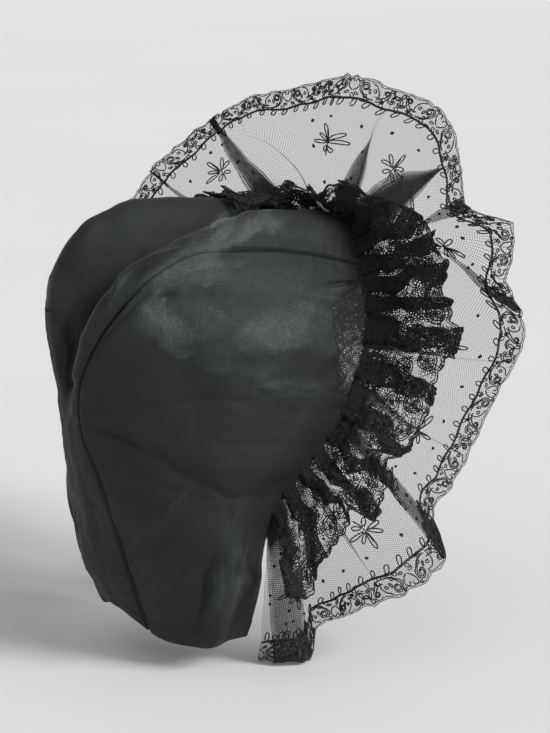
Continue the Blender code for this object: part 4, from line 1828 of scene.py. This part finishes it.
@dataclass
class BorderChart:
    """The frill's embroidered border: one repeat of scrollwork, and the vine that closes it inside."""

    repeat: float = 34.0
    outline: float = 0.52 * MM
    vine_in: float = 16.5
    vine: float = 0.50 * MM
    vine_sway: float = 0.8
    leaf_pitch: float = 11.0
    knot_pitch: float = 26.0
    scallop_pitch: float = 8.5
    outward: float = 1.6

    def scroll(self) -> list[Stroke]:
        """One repeat of scrollwork, drawn in millimetres from the rim.

        Returns:
            Its strokes.
        """
        lines = [
            curl((17.5, 16.0), (9.5, 8.4), 4.9, 1.35, 1),
            curl((16.0, 16.0), (9.5, 8.4), 3.5, 1.05, 1),
            curl((19.0, 16.0), (25.5, 7.2), 3.1, 1.25, -1),
            curl((18.2, 13.0), (25.5, 7.2), 2.1, 0.9, -1),
            through((14.2, 4.6), (18.0, 6.0), (20.5, 10.0), (20.0, 14.5)),
            through((0.5, 12.5), (3.0, 10.0), (4.4, 6.0), (3.4, 4.0), (1.2, 4.6), (1.0, 6.4)),
            through((27.0, 11.2), (30.0, 12.6), (33.5, 11.0)),
            through((26.6, 12.4), (30.0, 14.0), (33.5, 12.4)),
            petal((31.5, 7.5), 20, 4.4, 2.6),
            petal((31.5, 7.5), 110, 4.4, 2.6),
            petal((31.5, 7.5), 245, 4.4, 2.6),
            petal((14.0, 12.5), 250, 3.4, 1.9),
            petal((22.0, 12.0), 60, 3.6, 2.2),
            petal((5.5, 14.5), 200, 3.4, 2.2),
            ring((17.0, 9.6), 1.1),
            ring((28.6, 4.6), 1.1),
            ring((6.0, 3.9), 1.0),
            ring((24.0, 14.6), 1.1),
            ring((11.0, 14.4), 1.2),
        ]
        return [Stroke(line, self.outline).moved(0, -self.outward * MM) for line in lines]

    def strokes(self, length: float) -> list[Stroke]:
        """The whole border, with every second repeat turned over.

        Args:
            length: The strip's length, in metres.

        Returns:
            Its strokes.
        """
        draw = np.random.default_rng(7)
        found: list[Stroke] = []
        scroll = self.scroll()
        for number in range(math.ceil(length / (self.repeat * MM))):
            flip = number % 2 == 1
            shift = (number + flip) * self.repeat * MM + draw.normal(0, 0.4 * MM)
            found += [stroke.moved(shift, draw.normal(0, 0.15 * MM), flip) for stroke in scroll]
        return found + self.edges(length) + self.vine_lines(length, draw)

    def edges(self, length: float) -> list[Stroke]:
        """The plain edge's cord and the scalloped line that the scrollwork grows from.

        Args:
            length: The strip's length, in metres.

        Returns:
            Their strokes.
        """
        run = np.arange(0, length, 0.9 * MM)
        scallop = (1.2 + 0.9 * np.abs(np.sin(math.pi * run / (self.scallop_pitch * MM)))) * MM
        return [
            Stroke(np.stack([run, 0.35 * MM + 0 * run], -1), 0.28 * MM),
            Stroke(np.stack([run, scallop], -1), 0.34 * MM),
        ]

    def vine_lines(self, length: float, draw: np.random.Generator) -> list[Stroke]:
        """The thick vine with its knots, the looped leaves inside it and the small ones outside.

        Args:
            length: The strip's length, in metres.
            draw: Random numbers.

        Returns:
            Their strokes.
        """
        run = np.arange(0, length, 1.0 * MM)
        sway = self.vine_in * MM + self.vine_sway * MM * np.sin(TURN * run / (self.repeat * MM))
        found = [Stroke(np.stack([run, sway + offset], -1), self.vine) for offset in (-0.45 * MM, 0.45 * MM)]
        for spot in np.arange(4 * MM, length, self.leaf_pitch * MM):
            at = spot + draw.normal(0, 0.5 * MM)
            deep = self.vine_in + self.vine_sway * math.sin(TURN * at / (self.repeat * MM))
            lean = 62 + draw.normal(0, 9)
            leaf = petal((0, deep), lean, 6.2 + draw.normal(0, 0.5), 4.2)
            small = petal((3, deep), -42, 4.0, 2.8)
            found += [Stroke(leaf, self.outline).moved(at, 0), Stroke(small, self.outline * 0.9).moved(at, 0)]
        for spot in np.arange(9 * MM, length, self.knot_pitch * MM):
            t = np.linspace(-3.2, 3.2, 8)
            knot = np.stack([t * MM, (self.vine_in + 0 * t) * MM], -1)
            found.append(Stroke(knot, (0.40 + 0.75 * np.cos(t / 3.2 * math.pi / 2)) * MM).moved(spot, 0))
        return found


@dataclass
class SprigChart:
    """The five-petalled sprigs and small dots that are scattered over the frill's open net.

    Each dot's place is along and inward from its sprig and the rim, in millimetres.
    """

    outline: float = 0.52 * MM
    pitch: float = 81.0
    deep: float = 51.0
    size: float = 1.12
    first_at: float = 0.507
    bare_from: float = 0.520
    bare_to: float = 0.572
    dot_half: float = 1.5
    dots: tuple[tuple[float, float], ...] = (
        (-34, 31), (-8, 30), (20, 33), (-40, 54), (36, 50), (-20, 74), (24, 76),
    )

    def sprig(self) -> list[Stroke]:
        """One sprig, with its stem down towards the gathers.

        Returns:
            Its strokes.
        """
        lines = [
            petal((-1.0, 0), 184, 11.0, 2.6),
            petal((-0.5, -1.0), 222, 7.0, 2.6),
            petal((0, -1.0), 268, 11.0, 2.8),
            petal((1.0, 0), 322, 10.0, 2.8),
            petal((2.0, 0.0), 358, 8.5, 3.0),
            petal((-1.0, 2.5), 150, 5.4, 3.2),
            petal((0.8, 2.5), 48, 5.4, 3.2),
            through((0.4, -8.0), (0.2, -3.0), (0.0, 1.0), (-0.6, 4.5), (-2.2, 8.5)),
        ]
        return [Stroke(line * self.size, self.outline) for line in lines]

    def dot(self, degrees: float) -> Stroke:
        """One oval dot.

        Args:
            degrees: The way that it lies.

        Returns:
            Its one stroke.
        """
        t = np.linspace(-1, 1, 6)
        angle = math.radians(degrees)
        line = self.dot_half * np.stack([t * math.cos(angle), t * math.sin(angle)], -1) * MM
        return Stroke(line, (0.25 + 1.0 * np.sqrt(1 - t**2)) * MM)

    def strokes(self, cloth: PleatedLace) -> list[Stroke]:
        """The scatter for a whole frill, with the bare stretch that the photograph shows.

        Args:
            cloth: The frill.

        Returns:
            Its strokes.
        """
        draw = np.random.default_rng(5)
        found: list[Stroke] = []
        length = cloth.flat[-1]
        shown = cloth.flat[np.argmax(cloth.run >= self.first_at)]
        start = shown % (self.pitch * MM)
        for number, spot in enumerate(np.arange(start, length, self.pitch * MM)):
            at = spot + draw.normal(0, 1.0 * MM)
            deep = (self.deep + draw.normal(0, 2)) * MM
            if self.bare_from < np.interp(at, cloth.flat, cloth.run) < self.bare_to:
                continue
            squeeze = cloth.squeeze(at, deep)
            found += [stroke.moved(at, deep, number % 2 == 1, squeeze) for stroke in self.sprig()]
            for along, inward in self.dots:
                at_dot = at + (along + draw.normal(0, 2.5)) * MM
                deep_dot = (inward + draw.normal(0, 2.0)) * MM
                found.append(self.dot(draw.uniform(0, 180)).moved(at_dot, deep_dot))
        return found


@dataclass
class NetFrill:
    """The wide frill of embroidered net, with its knife pleats."""

    pattern: HoodPattern
    gather: GatherLine
    pleats: tuple[Pleat, ...] = (
        Pleat("tail", 0.0200, 0.0255, 0.0135, 0.0155, 0.64, 0.20, 1.0),
        Pleat("jaw corner", 0.085, 0.100, 0.004, 0.0002, 0.55, 0.0, 0.8),
        Pleat("jaw band", 0.160, 0.151, 0.006, 0.0088, 0.78, 0.0, 0.9),
        Pleat("cheek", 0.205, 0.200, 0.005, 0.0002, 0.3, 0.0, 0.6),
        Pleat("temple foot", 0.262, 0.256, 0.004, 0.0002, 0.3, 0.0, 0.6),
        Pleat("temple turn", 0.358, 0.296, 0.0002, 0.0060, 0.60, 0.40, 0.95),
        Pleat("notch fold", 0.372, 0.382, 0.0002, 0.0080, 0.55, 0.35, 1.0),
        Pleat("brow fold", 0.408, 0.403, 0.0165, 0.0002, 1.0, 0.25, 0.93),
        Pleat("spike", 0.452, 0.460, 0.0105, 0.0002, 0.86, 0.12, 0.70),
        Pleat("brow line", 0.512, 0.575, 0.0018, 0.0002, 0.50, 0.16, 0.66),
        Pleat("brow band", 0.586, 0.6025, 0.0140, 0.0040, 0.90),
        Pleat("left temple", 0.655, 0.660, 0.006, 0.0015),
        Pleat("left temple foot", 0.705, 0.712, 0.007, 0.0050),
        Pleat("left cheek", 0.760, 0.757, 0.006, 0.0020),
        Pleat("left jaw top", 0.822, 0.828, 0.007, 0.0040),
        Pleat("left jaw", 0.885, 0.882, 0.006, 0.0015),
        Pleat("left tail", 0.955, 0.962, 0.007, 0.0090, 0.4),
    )
    marks: tuple[RimMark, ...] = (
        RimMark("tail end", 0.000, 256, 664),
        RimMark("tail middle", 0.022, 284, 664),
        RimMark("tail corner", 0.0375, 309, 662),
        RimMark("jaw lobe start", 0.042, 313, 631),
        RimMark("jaw lobe", 0.062, 338, 622),
        RimMark("jaw lobe middle", 0.088, 364, 611),
        RimMark("jaw lobe end", 0.118, 412, 594),
        RimMark("jaw lobe turn", 0.136, 436, 577),
        RimMark("jaw corner", 0.145, 446, 561),
        RimMark("jaw notch", 0.163, 433, 519),
        RimMark("cheek lobe start", 0.180, 450, 492),
        RimMark("cheek lobe", 0.205, 472, 450),
        RimMark("cheek lobe middle", 0.235, 497, 398),
        RimMark("cheek lobe end", 0.262, 521, 355),
        RimMark("cheek lobe turn", 0.277, 527, 333),
        RimMark("temple lobe start", 0.296, 517, 304),
        RimMark("temple turn", 0.310, 509, 285),
        RimMark("upper lobe", 0.332, 514, 255),
        RimMark("upper corner", 0.351, 516, 226),
        RimMark("seam notch", 0.386, 464, 203),
        RimMark("brow lobe start", 0.400, 463, 167),
        RimMark("brow lobe", 0.418, 457, 138),
        RimMark("brow lobe bend", 0.434, 445, 113),
        RimMark("brow lobe top", 0.464, 393, 89),
        RimMark("brow lobe middle", 0.500, 353, 76),
        RimMark("brow lobe back", 0.545, 287, 92),
        RimMark("brow lobe end", 0.590, 224, 113),
        RimMark("left brow corner", 0.603, 213, 119),
        RimMark("left brow lobe", 0.622, 190, 139),
        RimMark("left temple lobe", 0.656, 155, 166),
        RimMark("left temple end", 0.680, 133, 197),
    )
    marks_fade_at: float = 0.73
    mark_power: float = 1.5
    gathered_reach: float = 0.16
    gathered_close: float = 0.8
    border_from: float = 0.835
    border_close: float = 0.17
    ripple: float = 0.0012
    crimp: float = 0.0010
    crimps: int = 62
    ragged: float = 0.0008
    frayed: float = 0.0004
    rim: RimLine = field(init=False)

    def __post_init__(self) -> None:
        """Finds the rim's moves."""
        self.rim = RimLine(self.marks, self.gather.frill, self.pattern, self.marks_fade_at)

    def form(self, along: np.ndarray, out: np.ndarray) -> tuple[np.ndarray, np.ndarray]:
        """The frill's form with its rim's corners and its small ripples.

        Args:
            along: Places along the line.
            out: From the gathered edge (0) to the rim (1).

        Returns:
            The points, and the way that faces the back at each.
        """
        points, outer = self.gather.frill(along, out)
        spots = np.stack([along * 1.2, out * 0.1], -1)
        uneven = self.ripple * ripple(spots, 0.030, 3) * smooth(out * 1.2)
        crimp = self.crimp * np.sin(TURN * along * self.crimps) * gaussian(out, self.gathered_reach)
        moved = points + outer * (uneven + crimp)[..., None] + self.rim.move(along, out, self.mark_power)
        spots = np.stack([along * 1.2, 0 * along], -1)
        ragged = self.ragged * ripple(spots, 0.012, 4) + self.frayed * ripple(spots, 0.004, 6)
        return moved + self.gather.stand(along)[0] * (ragged * smooth((out - 0.8) / 0.2))[..., None], outer

    def build(self) -> None:
        """The net, and the threads on it."""
        cloth = PleatedLace(self.form, self.pleats, foot_length=0.553, rim_length=1.20, step=0.0030,
                            back_cells=6, rows=44, layer=0.0007, bulge=0.0012)
        high = cloth.high()
        close = self.gathered_close * gaussian(high, self.gathered_reach)
        close += self.border_close * smooth((high - self.border_from) / 0.03)
        # The net closes up at the gathers, at the border and in the folds, where the closing is partly
        # painted shade.
        piece = grid_object("frill_net", self.pattern.settle(cloth.grid), NetFinish().make(), cloth.uv(),
                            {"gathers": close + cloth.dense})
        hand_over(piece, "embroidered_net", "outer_frill")
        thread = ThreadFinish("black_thread").make()
        scrolls, scatter = BorderChart().strokes(cloth.flat[-1]), SprigChart().strokes(cloth)
        border = thread_object("frill_border_threads", cloth, scrolls, thread, self.pattern)
        sprigs = thread_object("frill_sprig_threads", cloth, scatter, thread, self.pattern)
        for threads in (border, sprigs):
            hand_over(threads, "embroidered_net")
        LOG.info("frill is %.3f m long and %.3f m tall", cloth.flat[-1], cloth.tall)


@dataclass
class LaceRuffle:
    """The short ruffle of dense lace, tightly pleated over the foot of the frill."""

    pattern: HoodPattern
    gather: GatherLine
    tail: float = 0.020
    lift: float = 0.0030
    scallop: float = 0.0022
    scallop_pitch: float = 0.0088
    rosette_pitch: float = 20 * MM
    shown: tuple[Pleat, ...] = (
        Pleat("tail fold", 0.028, 0.026, 0.004, 0.0045),
        Pleat("jaw fold", 0.056, 0.051, 0.006, 0.0070),
        Pleat("jaw crumple", 0.086, 0.090, 0.0055, 0.0030),
        Pleat("jaw tip", 0.112, 0.115, 0.0055, 0.0060),
        Pleat("jaw crumple end", 0.138, 0.139, 0.0055, 0.0040),
        Pleat("cheek fold", 0.182, 0.173, 0.0085, 0.0085),
        Pleat("cheek second fold", 0.233, 0.234, 0.0090, 0.0080),
        Pleat("temple spike", 0.280, 0.273, 0.0095, 0.0050),
        Pleat("temple fold", 0.308, 0.306, 0.0050, 0.0055),
        Pleat("temple second fold", 0.331, 0.330, 0.0050, 0.0065),
        Pleat("seam fold", 0.353, 0.352, 0.0050, 0.0060),
        Pleat("seam second fold", 0.375, 0.373, 0.0050, 0.0050),
        Pleat("brow fold", 0.396, 0.394, 0.0045, 0.0060),
        Pleat("brow second fold", 0.417, 0.416, 0.0045, 0.0060),
        Pleat("brow third fold", 0.439, 0.437, 0.0045, 0.0060),
        Pleat("crest fold", 0.461, 0.460, 0.0045, 0.0060),
    )
    crowded_from: float = 0.284
    crowded_to: float = 0.425
    crowding: float = 0.24
    hidden_from: float = 0.486
    hidden_pitch: float = 0.026
    marks: tuple[RimMark, ...] = (
        RimMark("tail end", 0.020, 285, 600),
        RimMark("tail face", 0.036, 313, 605),
        RimMark("jaw fold", 0.049, 317, 567),
        RimMark("jaw face", 0.064, 331, 554),
        RimMark("jaw face end", 0.084, 350, 530),
        RimMark("jaw hollow", 0.098, 352, 513),
        RimMark("jaw tip", 0.116, 376, 523),
        RimMark("crumple hollow", 0.132, 389, 494),
        RimMark("crumple", 0.148, 389, 466),
        RimMark("cheek fold tip", 0.176, 408, 455),
        RimMark("cheek face", 0.200, 425, 433),
        RimMark("cheek face end", 0.220, 431, 412),
        RimMark("second fold tip", 0.240, 439, 390),
        RimMark("temple hollow", 0.249, 436, 385),
        RimMark("temple face", 0.262, 447, 361),
        RimMark("spike foot", 0.268, 457, 357),
        RimMark("spike", 0.277, 465, 329),
        RimMark("spike top", 0.290, 456, 322),
        RimMark("temple fold tip", 0.302, 456, 303),
        RimMark("temple fold hollow", 0.317, 445, 297),
        RimMark("second fold", 0.326, 448, 276),
        RimMark("upper spike", 0.339, 450, 256),
        RimMark("upper hollow", 0.349, 438, 243),
        RimMark("seam fold tip", 0.360, 438, 228),
        RimMark("seam hollow", 0.376, 414, 212),
        RimMark("brow foot", 0.392, 394, 203),
        RimMark("brow fold", 0.408, 366, 196),
        RimMark("brow fold tip", 0.424, 334, 178),
        RimMark("brow hollow", 0.434, 317, 195),
        RimMark("brow second tip", 0.443, 311, 186),
        RimMark("crest tip", 0.458, 285, 181),
        RimMark("crest hollow", 0.474, 262, 198),
    )
    marks_fade_at: float = 0.500
    mark_power: float = 1.25
    uneven: float = 0.0022
    fine: float = 0.0012
    sway: float = 0.0022
    gathered_reach: float = 0.42
    gathered_close: float = 0.55
    # How far the folds close the lace up, partly as painted shade.
    folded_close: float = 0.44
    loose_from: float = 0.415
    loose_to: float = 0.62
    loosened: float = 0.5
    rim: RimLine = field(init=False)

    def __post_init__(self) -> None:
        """Finds the rim's moves."""
        self.rim = RimLine(self.marks, lambda along, out: self.gather.ruffle(along, out, self.lift),
                           self.pattern, self.marks_fade_at)

    def form(self, along: np.ndarray, out: np.ndarray) -> tuple[np.ndarray, np.ndarray]:
        """The ruffle's form with its ragged rim and uneven faces.

        Args:
            along: Places along the ruffle, from end to end.
            out: From the gathered edge (0) to the rim (1).

        Returns:
            The points, and the way that faces the back at each.
        """
        line = self.tail + (1 - 2 * self.tail) * along
        spots = np.stack([along * 0.9, out * 0.05], -1)
        points, outer = self.gather.ruffle(line, out, self.lift)
        uneven = self.uneven * ripple(spots, 0.028, 9) * out
        fine = self.fine * ripple(spots, 0.007, 10) * np.sin(math.pi * np.clip(out, 0, 1) ** 0.6)
        sway = np.stack([ripple(points, 0.026, seed, 5) for seed in (51, 52, 53)], -1)
        sway = self.sway * sway * smooth(out * 1.4)[..., None] * (1 - 0.6 * smooth(out))[..., None]
        moved = points + outer * (uneven + fine)[..., None] + sway
        return moved + self.rim.move(line, out, self.mark_power), outer

    def pleats(self) -> list[Pleat]:
        """The pleats that the photograph shows, then uneven ones for the hidden side.

        Returns:
            The pleats, with their places measured along the ruffle.
        """
        draw = np.random.default_rng(21)
        found = list(self.shown)
        for number, at in enumerate(np.arange(self.hidden_from, 1 - self.tail, self.hidden_pitch)):
            at = at + draw.normal(0, 0.0022)
            foot, rim = 0.0055 * draw.uniform(0.8, 1.1), 0.0068 * draw.uniform(0.6, 1.25)
            found.append(Pleat(f"hidden {number}", at, at + draw.normal(0, 0.003), foot, rim))
        span = 1 - 2 * self.tail
        return [Pleat(p.name, (p.foot_at - self.tail) / span, (p.rim_at - self.tail) / span, p.foot, p.rim,
                      p.dense) for p in found]

    def strokes(self, cloth: PleatedLace) -> list[Stroke]:
        """Rosettes with their rings and petals, and the cords along the scalloped edge.

        Args:
            cloth: The ruffle.

        Returns:
            Their strokes.
        """
        draw = np.random.default_rng(13)
        found: list[Stroke] = []
        length = cloth.flat[-1]
        run = np.arange(0, length, 0.9 * MM)
        dip = self.scallop * (1 - np.abs(np.sin(math.pi * run / self.scallop_pitch)))
        found.append(Stroke(np.stack([run, 0.4 * MM + dip], -1), 0.55 * MM))
        found.append(Stroke(np.stack([run, 2.2 * MM + dip], -1), 0.38 * MM))
        for number, spot in enumerate(np.arange(8 * MM, length, self.rosette_pitch)):
            for deep, size in ((11.5 + 1.5 * (number % 2), 6.4), (27.0 - 2.0 * (number % 2), 5.6)):
                at = spot + (self.rosette_pitch / 2 if deep > 20 else 0) + draw.normal(0, 0.7 * MM)
                squeeze = cloth.squeeze(at, deep * MM)
                lines = [ring((0, deep), size), ring((0, deep), size - 1.5), ring((0, deep), 1.2)]
                for angle in range(0, 360, 72):
                    lines.append(petal((0, deep), angle + 15 * number, size - 2.4, 2.0))
                found += [Stroke(line, 0.50 * MM).moved(at, 0, squeeze=squeeze) for line in lines]
        return found

    def closed(self, cloth: PleatedLace) -> np.ndarray:
        """How far the lace closes up: at the gathers, in its folds, where it is partly painted shade, and in
        crowded patches by the temple.

        Args:
            cloth: The ruffle.

        Returns:
            A share for each point of the grid.
        """
        high = cloth.high()
        line = self.tail + (1 - 2 * self.tail) * cloth.run
        crowded = smooth((line - self.crowded_from) / 0.01) * smooth((self.crowded_to - line) / 0.02)
        brow = smooth((line - self.loose_from) / 0.02) * smooth((self.loose_to - line) / 0.02)
        spots = np.stack([line[None, :] + 0 * high, high * 0.05], -1)
        patches = self.crowding * crowded[None, :] * np.clip(0.75 + 0.45 * ripple(spots, 0.012, 14), 0, 1.2)
        close = self.gathered_close * gaussian(high, self.gathered_reach) + self.folded_close * cloth.dense
        return close * (1 - self.loosened * brow[None, :]) + patches

    def build(self) -> None:
        """The lace, and the threads on it."""
        cloth = PleatedLace(self.form, self.pleats(), foot_length=0.53, rim_length=0.80, step=0.0040,
                            back_cells=5, rows=26, layer=0.0009, bulge=0.0045, wander=0.0055)
        piece = grid_object("ruffle_lace", self.pattern.settle(self.scalloped(cloth)), WebFinish().make(),
                            cloth.uv(), {"gathers": self.closed(cloth)})
        hand_over(piece, "ruffle_lace", "inner_ruffle")
        thread = ThreadFinish("ruffle_thread").make()
        threads = thread_object("ruffle_threads", cloth, self.strokes(cloth), thread, self.pattern)
        hand_over(threads, "ruffle_lace")
        LOG.info("ruffle is %.3f m long and %.3f m tall", cloth.flat[-1], cloth.tall)

    def scalloped(self, cloth: PleatedLace) -> Grid:
        """The cloth's grid with its rim drawn in between the scallops.

        Args:
            cloth: The ruffle.

        Returns:
            The grid.
        """
        rows = cloth.rows
        dip = self.scallop * (1 - np.abs(np.sin(math.pi * cloth.flat / self.scallop_pitch)))
        pull = smooth((np.linspace(0, 1, rows + 1) - 0.8) / 0.2)[:, None] * dip[None, :]
        way = unit(cloth.grid[0] - cloth.grid[-1])
        return cloth.grid + way[None] * pull[..., None]


@dataclass
class Studio:
    """The pale floor, the soft lights and the camera at the photograph's angle."""

    floor_z: float = -0.2815
    flat_radius: float = 4.5
    curve: float = 3.0
    steepest: float = 85.0
    grain: float = 3.0
    shaded: Colour = (0.68, 0.68, 0.685)
    lit: Colour = (0.71, 0.71, 0.71)
    sensor: float = 36.0
    window_at: tuple[float, float] = (298.0, 35.0)
    window_spread: float = 24.0
    window_strength: float = 2.9
    sky_at: tuple[float, float] = (328.0, 54.0)
    sky_distance: float = 2.2
    sky_size: float = 0.9
    sky_watts: float = 2.0
    air: Colour = (0.90, 0.905, 0.91)
    air_strength: float = 0.58

    def camera(self) -> None:
        """The camera, whose frame puts the head seat where the photograph shows it."""
        back, right, up = VIEW.axes()
        across = (VIEW.width / 2 - VIEW.seat_px) * VIEW.metres_per_pixel
        down = (VIEW.height / 2 - VIEW.seat_py) * VIEW.metres_per_pixel
        aim = right * across - up * down
        data = bpy.data.cameras.new("camera")
        data.sensor_fit = "HORIZONTAL"
        data.sensor_width = self.sensor
        data.lens = self.sensor * VIEW.distance / (VIEW.width * VIEW.metres_per_pixel)
        camera = placed("camera", data)
        camera.location = back * VIEW.distance
        camera.rotation_euler = (Vector(aim) - camera.location).to_track_quat("-Z", "Y").to_euler()
        bpy.context.scene.camera = camera

    def floor(self) -> None:
        """A wide pale floor that curves up into a backdrop all round."""
        w = Wiring("pale_floor")
        place = w.node("TexCoord", out="Object")
        tone = w.node("TexNoise", {"Vector": place, "Scale": self.grain}, "Fac")
        w.dress(Base_Color=w.tint(tone, self.shaded, self.lit), Roughness=0.9, Specular_IOR_Level=0.1)
        rise = np.radians(np.linspace(0, self.steepest, 24))
        radius = np.concatenate([[0.001, 0.4, 1.5, 3.0], self.flat_radius + self.curve * np.sin(rise)])
        height = np.concatenate([[0, 0, 0, 0], self.curve * (1 - np.cos(rise))]) + self.floor_z
        angles = np.linspace(0, TURN, 97)
        grid = np.stack([np.outer(radius, np.cos(angles)), np.outer(radius, np.sin(angles)),
                         np.outer(height, np.ones_like(angles))], -1)
        grid_object("floor", grid, w.material)

    def shine(self, light: bpy.types.Light, azimuth: float, elevation: float,
              distance: float = 0.0) -> None:
        """Places a light and aims it at the bonnet.

        Args:
            light: The light.
            azimuth: Its direction around the bonnet, in degrees.
            elevation: Its height, in degrees.
            distance: How far away it is, which is nothing to a sun.
        """
        way = Vector(direction(azimuth, elevation))
        lamp = placed(light.name, light)
        lamp.location = way * distance
        lamp.rotation_euler = (-way).to_track_quat("-Z", "Y").to_euler()

    def build(self) -> None:
        """Sets up the camera, the floor, a wide soft window, a square of sky and the air's own light."""
        self.camera()
        self.floor()
        window = bpy.data.lights.new("window", "SUN")
        window.angle = math.radians(self.window_spread)
        window.energy = self.window_strength
        self.shine(window, *self.window_at)
        sky = bpy.data.lights.new("sky", "AREA")
        sky.size = self.sky_size
        sky.energy = self.sky_watts
        self.shine(sky, *self.sky_at, self.sky_distance)
        world = bpy.data.worlds.new("studio")
        world.use_nodes = True
        air = world.node_tree.nodes["Background"]
        air.inputs["Color"].default_value = (*self.air, 1.0)
        air.inputs["Strength"].default_value = self.air_strength
        bpy.context.scene.world = world
        bpy.context.scene.view_settings.view_transform = "Standard"
        bpy.context.scene.cycles.transparent_max_bounces = 32


def main() -> None:
    """Builds the bonnet's cloth, lace and surroundings in order."""
    logging.basicConfig(level=logging.INFO, format="%(name)s: %(message)s")
    pattern = HoodPattern()
    gather = GatherLine(pattern)
    SatinHood(pattern).build()
    NetWedges(pattern).build()
    NetFrill(pattern, gather).build()
    LaceRuffle(pattern, gather).build()
    Studio().build()


if __name__ == "__main__":
    main()
